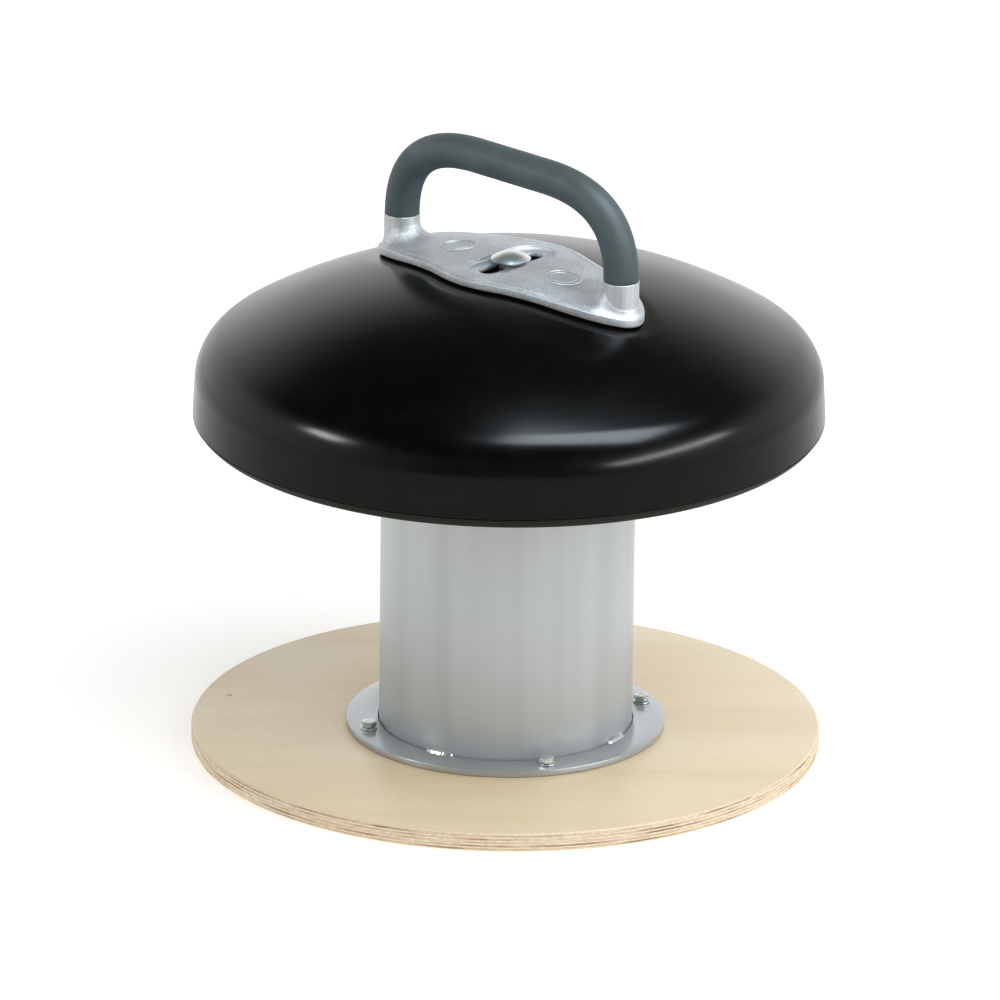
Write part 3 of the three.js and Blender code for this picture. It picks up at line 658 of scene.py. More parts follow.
def filled(outer, holes, chains, spacing, keep):
    """(points, triangles) between a loop and its holes. Chains of points become edges in between."""
    box = np.array([tuple(p) for p in outer])
    (x0, y0), (x1, y1) = box.min(0), box.max(0)
    grid = []
    rows = int((y1 - y0) / (spacing * 0.866)) + 1
    for j in range(rows):
        shift = spacing / 2 * (j % 2)
        for i in range(int((x1 - x0) / spacing) + 1):
            grid.append((x0 + shift + i * spacing, y0 + j * spacing * 0.866))
    grid = np.array(grid)
    free = signed_gap(grid, outer) < -keep
    for loop in holes:
        free &= signed_gap(grid, loop) > keep
    for chain in chains:
        near = np.array([tuple(p) for p in chain])
        free &= np.hypot(*(grid[:, None] - near[None]).transpose(2, 0, 1)).min(1) > keep
    points, edges = [], []
    for chain in [*(loop + loop[:1] for loop in [outer, *holes]), *chains]:
        first = len(points)
        points += [Vector(p) for p in chain]
        edges += [(first + i, first + i + 1) for i in range(len(chain) - 1)]
    points += [Vector(p) for p in grid[free]]
    made, _edges, triangles, *_origins = delaunay_2d_cdt(points, edges, [], 0, 1e-7)
    centres = np.array([tuple((made[a] + made[b] + made[c]) / 3) for a, b, c in triangles])
    wanted = signed_gap(centres, outer) < 0
    for loop in holes:
        wanted &= signed_gap(centres, loop) > 0
    return made, [tuple(t) for t, w in zip(triangles, wanted) if w]


def draped(points, height, shift=0.0):
    """Flat points raised to a level or a surface, which is a function of x and y, plus a shift."""
    return [(p.x, p.y, (height(p.x, p.y) if callable(height) else height) + shift) for p in points]


def lifted(flat, height):
    points, triangles = flat
    return draped(points, height), triangles


def walls(rings):
    """Quads between closed rings of equal length, each a list of 3-D points."""
    count = len(rings[0])
    verts = [v for ring in rings for v in ring]
    faces = []
    for k in range(len(rings) - 1):
        a, b = k * count, (k + 1) * count
        faces += [(a + i, a + (i + 1) % count, b + (i + 1) % count, b + i) for i in range(count)]
    return verts, faces


OUTLINE = plate_outline()


def circle(x, radius, count):
    angles = [TAU * i / count for i in range(count)]
    return [Vector((x + radius * math.cos(a), radius * math.sin(a))) for a in angles]


# ---------------------------------------------------------------- base

def base_deck():
    profile = outer_side(BASE_RADIUS, BOARD_BOTTOM, BOARD_TOP, BOARD_EDGE_ROUND, 5)
    profile += inner_side(ACCESS_HOLE_RADIUS, BOARD_BOTTOM, BOARD_TOP, HOLE_EDGE_ROUND, 4)
    deck = add_piece("base_deck", *turned(profile, 288), base_face, "stand", "birch_ply", ["base_board"])
    pockets = []
    for i in range(6):
        node = f"floor_pad_{i + 1}"
        pocket = drum(reach_of(node) + BORE_GAP, -PAD_THICKNESS, PAD_THICKNESS + BORE_GAP, 64)
        pockets.append(moved(pocket, spot(node)))
    floor = BOARD_BOTTOM + TEE_NUT_SINK
    bore = M8_RADIUS + BORE_GAP
    for i in range(4):
        node = f"base_tee_nut_{i + 1}"
        reach = reach_of(node) + BORE_GAP
        seat = [(reach, -PAD_THICKNESS), (reach, floor), (bore, floor), (bore, BOARD_TOP + PAD_THICKNESS)]
        pockets.append(moved(turned(seat, 48, loop=False), spot(node)))
    cut(deck, pockets)
    deck.data.materials.append(base_rim)
    for face in deck.data.polygons:
        radius = math.hypot(face.center.x, face.center.y)
        sideways = abs(face.normal.z) < EDGE_GRAIN_NORMAL
        at_edge = radius > BASE_RADIUS - BOARD_EDGE_ROUND or radius < ACCESS_HOLE_RADIUS + HOLE_EDGE_ROUND
        if sideways and at_edge:
            face.material_index = 1


def floor_pads():
    for i in range(6):
        node = f"floor_pad_{i + 1}"
        radius = reach_of(node)
        groove, depth = 1.2 * MM, 0.6 * MM
        profile = [(0.2 * MM, 0.0)]
        for share in (0.42, 0.66):
            r = radius * share
            profile += [(r - groove, 0.0), (r - groove / 2, depth)]
            profile += [(r + groove / 2, depth), (r + groove, 0.0)]
        edge = 1 * MM
        profile += arc(radius - edge, edge, edge, -90, 0, 4)
        profile += arc(radius - edge / 2, PAD_THICKNESS - edge / 2, edge / 2, 0, 90, 3)
        profile += [(0.2 * MM, PAD_THICKNESS)]
        shape = moved(turned(profile, 72, loop=False), spot(node))
        add_piece(f"floor_foot_{i + 1}", *shape, pad_rubber, "stand", "floor_rubber", [node])


def flange(name, node):
    lo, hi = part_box(node)
    profile = rounded_ring(FLANGE_BORE_RADIUS, hi.x, lo.z, hi.z, 0.7 * MM)
    piece = add_piece(name, *turned(profile, 256), flange_paint, "stand", "silver_powder_coat", [node])
    bolts = [f"base_bolt_{i + 1}" for i in range(4)]
    holes = [moved(drum(FLANGE_HOLE_RADIUS, lo.z - MM, hi.z + MM, 32), spot(bolt)) for bolt in bolts]
    cut(piece, holes)


def column():
    lo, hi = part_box("column_tube")
    profile = rounded_ring(hi.x - TUBE_WALL, hi.x, lo.z, hi.z, 0.6 * MM, 2)
    add_piece("column", *turned(profile, 288), column_paint, "stand", "silver_powder_coat", ["column_tube"])


def weld(name, node, upward):
    """A stitch weld between the tube and a flange: a convex bead with ripples and round ends."""
    tube = high("column_tube").x
    lo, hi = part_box(node)
    centre = middle(node)
    turn = math.atan2(centre.y, centre.x)
    half = (WELD_LENGTH / 2 - MM) / tube
    foot = lo.z - BORE_GAP if upward else hi.z + BORE_GAP
    leg = 5.2 * MM
    sink = 0.4 * MM
    steps, across = 84, 10
    rings = []
    for i in range(steps + 1):
        share = 2 * i / steps - 1
        size = leg * max(0.02, (1 - abs(share) ** 5)) ** 0.5
        ripple = 0.09 * MM * math.cos(share * math.pi * 9 + 2.2 * abs(share))
        angle = turn + half * share
        ring = []
        for k in range(across + 1):
            a = math.pi / 2 * k / across
            bulge = ripple * math.sin(2 * a) + 0.13 * size * math.sin(2 * a)
            flat = 1 / (math.cos(a) + math.sin(a))
            out = (size * flat + bulge) * math.cos(a)
            rise = (size * flat + bulge) * math.sin(a)
            wobble = 0.25 * MM * noise.noise(Vector((share * 6, k * 0.8, turn)))
            r = tube - sink + out + wobble * (0 < k < across)
            z = rise - sink
            ring.append((r * math.cos(angle), r * math.sin(angle), foot + z if upward else foot - z))
        r = tube - sink
        ring.append((r * math.cos(angle), r * math.sin(angle), foot - sink if upward else foot + sink))
        rings.append(ring)
    verts, faces = walls(rings)
    width = across + 2
    faces.append(tuple(range(width)))
    faces.append(tuple(range(steps * width, (steps + 1) * width)))
    add_piece(name, verts, faces, flange_paint, "stand", "silver_powder_coat", [node], 50)


def polygon(sides, flats):
    """Distance from the axis to the side of a regular polygon, as a function of the angle."""
    part = TAU / sides
    return lambda angle: flats / 2 / math.cos((angle + part / 2) % part - part / 2)


def hex_rings(flats, bottom, top, both=False):
    """Rings of a hexagon prism whose top corners, or all its corners, are turned to a cone."""
    side = polygon(6, flats)
    crest = flats / 2 * 0.95
    slope = math.tan(math.radians(22))

    def upper(angle):
        return top - (side(angle) - crest) * slope

    def lower(angle):
        return bottom + (side(angle) - crest) * slope if both else bottom

    return [(side, lower), (side, upper), (crest, top)], crest


def threaded(radius, pitch, bottom, top, plain=0.0):
    """Rings of a screw thread with a chamfered end at the bottom and a plain length at the top."""
    depth = 0.54 * pitch
    steps = int((top - bottom) / (pitch / 6))
    rings = []
    for k in range(steps + 1):
        z = bottom + (top - bottom) * k / steps
        limit = radius - depth * 1.2 + max(0.0, z - bottom)

        def at(angle, z=z, limit=limit):
            phase = (z / pitch - angle / TAU) % 1
            ridge = max(0.0, min(1.0, 2.6 * abs(phase - 0.5) - 0.15))
            return min(limit, radius - depth * (1 - ridge)) if z < top - plain else radius

        rings.append((at, z))
    return rings


def hex_bolt(length, count=72):
    """A bolt with the underside of its head at z = 0 and its thread pointing down."""
    rings, crest = hex_rings(M8_FLATS, 0.8 * MM, M8_HEAD_HEIGHT)
    face = M8_FLATS / 2 * 0.84
    rings += [(crest * 0.55, M8_HEAD_HEIGHT), (crest * 0.5, M8_HEAD_HEIGHT - 0.25 * MM)]
    rings.append((0.2 * MM, M8_HEAD_HEIGHT - 0.3 * MM))
    thread = threaded(M8_RADIUS, 1.25 * MM, -length, -1.2 * MM)
    under = [(M8_RADIUS, 0.0), (face, 0.0), (face, 0.8 * MM)]
    return turned([*thread, *under, *rings], count, loop=False)


def tee_nut(node, upward):
    """A pronged tee nut: a thin flange with four bent prongs and a threaded barrel."""
    lo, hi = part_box(node)
    reach = reach_of(node)
    sign = 1 if upward else -1
    face = lo.z if upward else hi.z
    thick = 1.5 * MM
    barrel = 4.9 * MM
    bore = 4.1 * MM
    notch = 3.4 * MM
    thin = 0.7 * MM
    length = (hi - lo).z

    def notched(angle):
        offset = abs((angle + math.pi / 4) % (math.pi / 2) - math.pi / 4)
        return reach - notch * max(0.0, 1 - (offset / 0.24) ** 4) if offset < 0.24 else reach

    rings = [
        (bore + 0.5 * MM, face), (notched, face), (notched, face + sign * thick),
        (barrel, face + sign * thick), (barrel, face + sign * length),
        (bore, face + sign * length), (bore, face + sign * 0.6 * MM),
    ]
    prongs = []
    for i in range(4):
        x = reach - notch
        levels = []
        for half, depth in ((2.2 * MM, 0.2 * MM), (0.3 * MM, 5 * MM)):
            z = face + sign * depth
            corners = ((x, -half), (x, half), (x + thin, half), (x + thin, -half))
            levels += [Vector((a, b, z)) for a, b in corners]
        faces = [(0, 1, 2, 3), (4, 5, 6, 7), (0, 1, 5, 4), (1, 2, 6, 5), (2, 3, 7, 6), (3, 0, 4, 7)]
        prongs.append(moved((levels, faces), Matrix.Rotation(math.pi / 2 * i, 4, "Z")))
    return moved(merged([turned(rings, 96), *prongs]), spot(node))


def fasteners(end, upward):
    """The four bolts, washers and tee nuts at one end of the column."""
    flip = Matrix.Identity(4) if upward else Matrix.Rotation(math.pi, 4, "X")
    for i in range(4):
        n = i + 1
        node = f"{end}_bolt_{n}"
        lo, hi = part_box(node)
        length = hi.z - lo.z - M8_HEAD_HEIGHT
        seat = hi.z - M8_HEAD_HEIGHT if upward else lo.z + M8_HEAD_HEIGHT
        turn = math.atan2(middle(node).y, middle(node).x)
        place = spot(node, seat) @ Matrix.Rotation(turn, 4, "Z") @ flip
        bolt = moved(hex_bolt(length), place)
        add_piece(f"{end}_hex_bolt_{n}", *bolt, zinc, "stand", "zinc_steel", [node])

        node = f"{end}_washer_{n}"
        lo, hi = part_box(node)
        profile = rounded_ring(M8_RADIUS + 0.25 * MM, reach_of(node), lo.z, hi.z, 0.3 * MM, 2)
        washer = moved(turned(profile, 64), spot(node))
        add_piece(f"{end}_flat_washer_{n}", *washer, zinc, "stand", "zinc_steel", [node])

        node = f"{end}_tee_nut_{n}"
        add_piece(f"{end}_prong_nut_{n}", *tee_nut(node, upward), zinc, "stand", "zinc_steel", [node])


base_deck()
floor_pads()
column()
flange("base_flange", "bottom_flange")
flange("head_flange", "top_flange")
for i in range(4):
    weld(f"base_bead_{i + 1}", f"base_weld_{i + 1}", True)
    weld(f"head_bead_{i + 1}", f"head_weld_{i + 1}", False)
fasteners("base", True)
fasteners("head", False)

# ---------------------------------------------------------------- dome

HUB_RADIUS = 12 * MM
EDGE_ROLL = 1.4 * MM
DENT_DEPTH = 1.0 * MM
DENT_REACH = 16 * MM


def dome_skin():
    """The padded cover: a tight skin that dips under the pommel's plate and swells a little between."""
    samples = dome_samples(HUB_RADIUS, 84, 34, 14)
    outer = [p for p, n in samples]
    inner = [p - SKIN_THICKNESS * n for p, n in samples]
    last = outer[-1]
    roll = [Vector(p) for p in arc(last.x - EDGE_ROLL, last.y + EDGE_ROLL, EDGE_ROLL, 0, -90, 4)]
    outline = [*outer[:-1], *roll, *inner[::-1]]
    verts, faces = turned(outline, 360)
    points = np.array(verts)
    gap = signed_gap(points[:, :2], OUTLINE)
    dip = np.clip(1 - np.maximum(gap, 0) / DENT_REACH, 0, 1)
    dip = DENT_DEPTH * dip * dip * (3 - 2 * dip) * (points[:, 2] > BAND_TOP_Z)
    points[:, 2] -= dip
    for v in points:
        r = math.hypot(v[0], v[1])
        swell = noise.noise(Vector(v) * 9) * 0.16 * MM + noise.noise(Vector(v) * 28) * 0.012 * MM
        fade = min(1.0, max(0.0, (r - 0.19) / 0.05)) * min(1.0, max(0.0, (v[2] - SEAM_Z - 3 * MM) / 0.02))
        v[0] += swell * fade * v[0] / max(r, MM)
        v[1] += swell * fade * v[1] / max(r, MM)
        v[2] += swell * fade
    cover = add_piece("dome_skin", points, faces, skin, "stand", "black_skin", ["dome_cover"], 40)


def dome_layers():
    steps = (30, 10, 2)
    pad = dome_shell(*FOAM_DEPTHS, NECK_HOLE_RADIUS, low("foam_layer").z, steps)
    piece = add_piece("dome_foam", *turned(pad, 144), foam, "stand", "padding_foam", ["foam_layer"])
    core = dome_shell(*CORE_DEPTHS, NECK_HOLE_RADIUS, low("core_shell").z, steps)
    add_piece("dome_core", *turned(core, 144), core_wood, "stand", "moulded_core", ["core_shell"])


def rim_band():
    """The black band under the seam, turned in under the head board."""
    lo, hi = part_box("rim_trim")
    top, bottom = hi.z, lo.z
    reach = SEAM_RADIUS - BORE_GAP
    tuck = HEAD_BOTTOM - BORE_GAP
    start = Vector((reach - 0.7 * MM, bottom + 9.2 * MM))
    pull = Vector((reach - 5.0 * MM, bottom + 2.6 * MM))
    end = Vector((reach - 10.7 * MM, bottom))
    under = [start.lerp(pull, i / 10).lerp(pull.lerp(end, i / 10), i / 10) for i in range(11)]
    profile = [
        (REBATE_RADIUS, tuck), (REBATE_RADIUS, top),
        *arc(reach - 0.6 * MM, top - 0.6 * MM, 0.6 * MM, 90, 0, 4),
        *under,
        (LIP_RADIUS + 0.5 * MM, bottom), (LIP_RADIUS, bottom + 0.4 * MM), (LIP_RADIUS, tuck),
    ]
    add_piece("rim_band", *turned(profile, 360), trim_rubber, "stand", "black_rubber", ["rim_trim"], 50)


def rim_staples():
    """Wire staples that hold the band's lip to the underside of the head board."""
    level = low("rim_trim").z
    shapes = []
    count = 60
    for i in range(count):
        angle = TAU * (i + 0.5) / count
        skew = 0.16 * noise.noise(Vector((i * 1.7, 0.3, 0)))
        section = [(-0.35, -0.1), (0.35, -0.1), (0.35, -0.45), (0.2, -0.6), (-0.2, -0.6), (-0.35, -0.45)]
        rings = []
        for x, sink in ((-5.2, 0.9), (-5.0, 0.25), (-4.4, 0), (4.4, 0), (5.0, 0.25), (5.2, 0.9)):
            rings.append([Vector((y * MM, x * MM, (z + sink) * MM)) for y, z in section])
        verts, faces = walls(rings)
        faces += [tuple(range(6)), tuple(range(30, 36))]
        place = Matrix.Translation((0, 0, level)) @ Matrix.Rotation(angle, 4, "Z")
        place = place @ Matrix.Translation((STAPLE_RADIUS, 0, 0)) @ Matrix.Rotation(skew, 4, "Z")
        shapes.append(moved((verts, faces), place))
    add_piece("rim_staples", *merged(shapes), zinc, "stand", "zinc_steel", (), 40)


def head_deck():
    lo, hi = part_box("head_board")
    bore = 9.5 * MM
    profile = [
        (bore, lo.z), (REBATE_RADIUS - 0.6 * MM, lo.z), (REBATE_RADIUS - 0.6 * MM, SEAM_Z),
        (hi.x, SEAM_Z), (hi.x, hi.z), (bore, hi.z),
    ]
    deck = add_piece("head_deck", *turned(profile, 240), head_face, "stand", "birch_ply", ["head_board"])
    seats = []
    hole = 5.2 * MM
    floor = hi.z - TEE_NUT_SINK
    for i in range(4):
        node = f"head_tee_nut_{i + 1}"
        reach = reach_of(node) + BORE_GAP
        seat = [(hole, lo.z - MM), (hole, floor), (reach, floor), (reach, hi.z + MM)]
        seats.append(moved(turned(seat, 48, loop=False), spot(node)))
    cut(deck, seats)


dome_skin()
dome_layers()
rim_band()
rim_staples()
head_deck()

# ---------------------------------------------------------------- pommel

POCKET_FLOOR = dome_height(0, PLATE_TOP_OFFSET) - POCKET_DEPTH
POST_SIDES = 128
EDGE_ROUND = 0.55 * MM
BORDER_WIDTH = 5.8 * MM
BORDER_DROP = 0.6 * MM
GROOVE_WIDTH = 0.7 * MM
GROOVE_DEPTH = 0.6 * MM
BORDER_REACH = (88 * MM, 112 * MM)
POST_FILLET = 19 * MM
FILLET_HEIGHTS = (8.5 * MM, 17 * MM)
MARK_CENTRE = 68 * MM
MARK_RINGS = ((12.4 * MM, 0.75 * MM), (17 * MM, 0.85 * MM))  # radius and height of each ring
MARK_SLOPE = 0.7 * MM


def surface(offset):
    return lambda x, y: dome_height(math.hypot(x, y), offset)


plate_top = surface(PLATE_TOP_OFFSET)
plate_bottom = surface(PLATE_BOTTOM_OFFSET)


def border_share(x):
    """1 along the plate's middle, fading to 0 where the posts begin."""
    start, end = BORDER_REACH
    share = np.clip((end - np.abs(x)) / (end - start), 0, 1)
    return share * share * (3 - 2 * share)


def border_drop(points):
    """How far the plate's border and the fine groove beside it lie below its surface."""
    depth = -signed_gap(points, OUTLINE)
    slope = BORDER_DROP * np.clip(1 - depth / BORDER_WIDTH, 0, 1)
    groove = GROOVE_DEPTH * np.clip(1 - np.abs(depth - BORDER_WIDTH) / GROOVE_WIDTH, 0, 1)
    return (slope + groove) * border_share(points[:, 0])


def post_reaches(side):
    """How far the fillet runs out from a post at each of its angles, kept inside the plate's edge."""
    centre = Vector((side * POST_REACH, 0))
    reaches = []
    for i in range(POST_SIDES):
        angle = TAU * i / POST_SIDES
        ray = Vector((math.cos(angle), math.sin(angle)))
        best = 1.0
        for a, b in zip(OUTLINE, OUTLINE[1:] + OUTLINE[:1]):
            edge = b - a
            across = ray.x * edge.y - ray.y * edge.x
            if abs(across) < 1e-12:
                continue
            rel = a - centre
            t = (rel.x * edge.y - rel.y * edge.x) / across
            u = (rel.x * ray.y - rel.y * ray.x) / across
            if t > 0 and 0 <= u < 1:
                best = min(best, t)
        room = best - POST_RADIUS - EDGE_ROUND - 0.4 * MM
        reaches.append(room)
    smooth = []
    for i in range(POST_SIDES):
        near = [min(POST_FILLET, reaches[(i + k) % POST_SIDES]) for k in range(-4, 5)]
        smooth.append(min(sum(near) / len(near), reaches[i]))
    return smooth


def cast_mark(x, y):
    """Height of the plain rings that stand on the plate beside the recess."""
    r = math.hypot(abs(x) - MARK_CENTRE, y)
    return sum(height * max(0.0, 1 - abs(r - radius) / MARK_SLOPE) for radius, height in MARK_RINGS)


def pommel_casting():
    shapes = []
    loops = []
    fillet_loops = []
    lowest, tallest = FILLET_HEIGHTS
    for side in (-1, 1):
        reaches = post_reaches(side)
        centre = side * POST_REACH
        rings = []
        for share in (1, 0.85, 0.7, 0.55, 0.42, 0.3, 0.2, 0.12, 0.06, 0.02, 0):
            ring = []
            for i, reach in enumerate(reaches):
                angle = TAU * i / POST_SIDES
                r = POST_RADIUS + share * reach
                x, y = centre + r * math.cos(angle), r * math.sin(angle)
                tall = lowest + (tallest - lowest) * min(1, reach / POST_FILLET)
                ring.append((x, y, plate_top(x, y) + tall * (1 - math.sqrt(1 - (1 - share) ** 2))))
            rings.append(ring)
        fillet_loops.append([Vector((x, y)) for x, y, z in rings[0]])
        seat = POST_TOP - GRIP_SEAT_DEPTH
        levels = [
            (POST_RADIUS, POST_TOP - 0.4 * MM), (POST_RADIUS - 0.3 * MM, POST_TOP),
            (CORE_BORE + 0.3 * MM, POST_TOP), (CORE_BORE, POST_TOP - 0.3 * MM), (CORE_BORE, seat),
            (SCREW_BORE, seat), (SCREW_BORE, seat - 5 * MM), (SCREW_HEAD_BORE, seat - 5 * MM),
        ]
        for radius, z in levels:
            rings.append(draped(circle(centre, radius, POST_SIDES), z))
        foot = circle(centre, SCREW_HEAD_BORE, POST_SIDES)
        rings.append(draped(foot, plate_bottom))
        loops.append(foot)
        shapes.append(walls(rings))

    count = 160
    rim = stadium(POCKET_LENGTH, POCKET_WIDTH, count)
    pocket = []
    for depth, drop in ((-1.4, 0), (-0.9, 0.08), (-0.4, 0.35), (-0.1, 0.8), (0, 1.3)):
        pocket.append(draped(inset(rim, depth * MM), plate_top, -drop * MM))
    pocket_loop = inset(rim, -1.4 * MM)
    cove = 2.4 * MM
    for radius, z in arc(cove, POCKET_FLOOR + cove, cove, 180, 270, 5):
        pocket.append(draped(inset(rim, radius), z))
    slot = stadium(SLOT_LENGTH, SLOT_WIDTH, count)
    for depth, drop in ((-0.6, 0), (-0.2, 0.2), (0, 0.6)):
        pocket.append(draped(inset(slot, depth * MM), POCKET_FLOOR, -drop * MM))
    pocket.append(draped(slot, plate_bottom))
    shapes.append(walls(pocket))

    edge = []
    for depth, rise in ((0.5, 0), (0.12, 0.25), (0, 0.7)):
        edge.append(draped(inset(OUTLINE, depth * MM), plate_bottom, rise * MM))
    for share in (0, 0.12, 0.3, 0.55, 1):
        ring = inset(OUTLINE, share * EDGE_ROUND)
        round_drop = EDGE_ROUND * (1 - math.sqrt(1 - (1 - share) ** 2))
        drops = border_drop(np.array([tuple(p) for p in ring])) + round_drop
        edge.append([(p.x, p.y, plate_top(p.x, p.y) - drop) for p, drop in zip(ring, drops)])
    top_loop = inset(OUTLINE, EDGE_ROUND)
    shapes.append(walls(edge))

    chains = []
    for side in (-1, 1):
        for radius, _height in MARK_RINGS:
            for shift in (-MARK_SLOPE, 0, MARK_SLOPE):
                loop = circle(side * MARK_CENTRE, radius + shift, 72)
                chains.append(loop + loop[:1])
    for shift in (-GROOVE_WIDTH, 0, GROOVE_WIDTH):
        loop = inset(OUTLINE, BORDER_WIDTH + shift)
        for half in (loop[:len(loop) // 2], loop[len(loop) // 2:]):
            chains.append([p for p in half if abs(p.x) < BORDER_REACH[1]])
    points, triangles = filled(top_loop, [pocket_loop, *fillet_loops], chains, 4 * MM, 1.6 * MM)
    drops = border_drop(np.array([tuple(p) for p in points]))
    verts = [(p.x, p.y, plate_top(p.x, p.y) + cast_mark(p.x, p.y) - drop) for p, drop in zip(points, drops)]
    shapes.append((verts, triangles))
    bottom = filled(inset(OUTLINE, 0.5 * MM), [slot, *loops], [], 6 * MM, 2.5 * MM)
    shapes.append(lifted(bottom, plate_bottom))
    add_piece("pommel_casting", *merged(shapes), casting, "pommel", "cast_silver", ["pommel_base"], 28)


def pommel_underlay():
    outline = inset(OUTLINE, 1.8 * MM)
    slot = stadium(SLOT_LENGTH, SLOT_WIDTH, 96)
    flat = filled(outline, [slot], [], 7 * MM, 3 * MM)
    upper, lower = surface(1.3 * MM), surface(BORE_GAP)
    shapes = [lifted(flat, upper), lifted(flat, lower)]
    for loop in (outline, slot):
        shapes.append(walls([draped(loop, height) for height in (upper, lower)]))
    add_piece("pommel_underlay", *merged(shapes), underlay_rubber, "pommel", "black_rubber", ["pommel_pad"])


def bezier(points, t):
    p0, p1, p2, p3 = (Vector(p) for p in points)
    s = 1 - t
    return s ** 3 * p0 + 3 * s * s * t * p1 + 3 * s * t * t * p2 + t ** 3 * p3


def grip_line():
    """The grip's centre line in the x-z plane, from one post's top over to the other's."""
    top = high("grip_sleeve").z - GRIP_RADIUS
    rise = top - POST_TOP
    run = POST_REACH - GRIP_FLAT_HALF
    up, across = GRIP_CORNER_PULL
    corner = [
        (-POST_REACH, POST_TOP), (-POST_REACH, POST_TOP + up * rise),
        (-GRIP_FLAT_HALF - across * run, top), (-GRIP_FLAT_HALF, top),
    ]
    steps = 72
    left = [bezier(corner, i / steps) for i in range(steps + 1)]
    flat = [Vector((-GRIP_FLAT_HALF + 2 * GRIP_FLAT_HALF * i / 24, top)) for i in range(1, 24)]
    right = [Vector((-p.x, p.y)) for p in left[::-1]]
    return left + flat + right


def grip_sleeve():
    line = grip_line()
    sides = 56
    total = len(line)

    def ring(i, radius, slide=0.0):
        a, b = line[max(0, i - 1)], line[min(total - 1, i + 1)]
        along = (b - a).normalized()
        out = Vector((-along.y, along.x))
        centre = line[i] + slide * along
        result = []
        for k in range(sides):
            angle = TAU * k / sides
            p = centre + radius * math.cos(angle) * out
            result.append((p.x, radius * math.sin(angle), p.y))
        return result

    round_off = [(1.0, 0.0), (0.35, 0.12), (0.0, 0.7)]
    rings = [ring(0, GRIP_RADIUS - a * MM, (0.3 + b) * MM) for a, b in round_off]
    rings += [ring(i, GRIP_RADIUS) for i in range(1, total - 1)]
    rings += [ring(total - 1, GRIP_RADIUS - a * MM, -(0.3 + b) * MM) for a, b in round_off[::-1]]
    rings += [ring(i, CORE_BORE) for i in range(total - 2, 0, -3)]
    rings += [ring(0, CORE_BORE, 0.3 * MM), rings[0]]
    add_piece("grip", *walls(rings), grip_rubber, "pommel", "grip_rubber", ["grip_sleeve"], 50)


def coach_bolt():
    """A domed bolt head over a square neck, with a rolled thread on its lower end."""
    lo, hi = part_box("carriage_bolt")
    reach = hi.x
    under = high("spacer_washer").z + BORE_GAP
    rim = under + HEAD_RIM
    crown = hi.z - rim
    ball = (reach ** 2 + crown ** 2) / (2 * crown)
    widest = math.degrees(math.asin(reach / ball))
    dome = arc(0, hi.z - ball, ball, 90 - widest, 89.4, 14)
    neck = polygon(4, NECK_SIDE)
    thread_top = low("clamp_nut").z + 45 * MM
    rings = [
        *threaded(M16_RADIUS, M16_PITCH, lo.z, thread_top, 2 * MM),
        (M16_RADIUS, under - 14 * MM), (neck, under - 12 * MM), (neck, under),
        (reach - 0.8 * MM, under), (reach - 0.1 * MM, under + 0.5 * MM), *dome,
    ]
    bolt = turned(rings, 96, loop=False)
    add_piece("coach_bolt", *bolt, zinc, "pommel", "zinc_steel", ["carriage_bolt"], 34)


def neck_washer():
    lo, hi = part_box("spacer_washer")
    edge = 0.5 * MM
    hole = polygon(4, NECK_SIDE + 0.6 * MM)
    rings = [(hole, hi.z), (hole, lo.z), *outer_side(hi.x, lo.z, hi.z, edge)]
    add_piece("neck_washer", *turned(rings, 96), zinc, "pommel", "zinc_steel", ["spacer_washer"])


def clamp():
    lo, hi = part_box("clamp_washer")
    bore = M16_RADIUS + 0.35 * MM
    ring = turned(rounded_ring(bore, hi.x, lo.z, hi.z, 0.6 * MM), 96)
    add_piece("plate_washer", *ring, zinc, "clamp_carrier", "zinc_steel", ["clamp_washer"])
    lo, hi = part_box("clamp_nut")
    rings, crest = hex_rings(M16_FLATS, lo.z, hi.z, both=True)
    sink = 1.1 * MM
    bored = [(bore + sink, hi.z), (bore, hi.z - sink), (bore, lo.z + sink), (bore + sink, lo.z)]
    nut = turned([*rings, *bored, (crest, lo.z)], 96)
    add_piece("clamp_hex_nut", *nut, zinc, "clamp_nut_body", "zinc_steel", ["clamp_nut"])


pommel_casting()
pommel_underlay()
grip_sleeve()
coach_bolt()
neck_washer()
clamp()

for node in ("guide_tube", "grip_core", "grip_screw_1", "grip_screw_2"):
    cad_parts[node].data.materials.clear()
    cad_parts[node].data.materials.append(zinc)

# ---------------------------------------------------------------- stage, lights and camera

CAMERA_AZIMUTH = math.radians(43)
CAMERA_ELEVATION = math.radians(19.75)
CAMERA_DISTANCE = 13.30
CAMERA_LENS = 504
CAMERA_ROLL = math.radians(0.65)
AIM_RIGHT = -7.6 * MM
AIM_HEIGHT = 243.5 * MM

FLOOR_RADIUS = 9.0
FLOOR_GLOW = 0.42
DOME_LEVEL = 0.35
FRONT_WALL = 0.18
FRONT_WALL_REACH = (0.3, 0.9)  # where the dimming starts and ends, as cosines to the camera's side
WALL_LEVELS = [(0.0, 1.5), (0.36, 1.5), (0.56, 0.6), (0.66, 0.06), (1.0, 0.04)]

right = Vector((math.cos(CAMERA_AZIMUTH), math.sin(CAMERA_AZIMUTH), 0))
front = Vector((math.sin(CAMERA_AZIMUTH), -math.cos(CAMERA_AZIMUTH), 0))


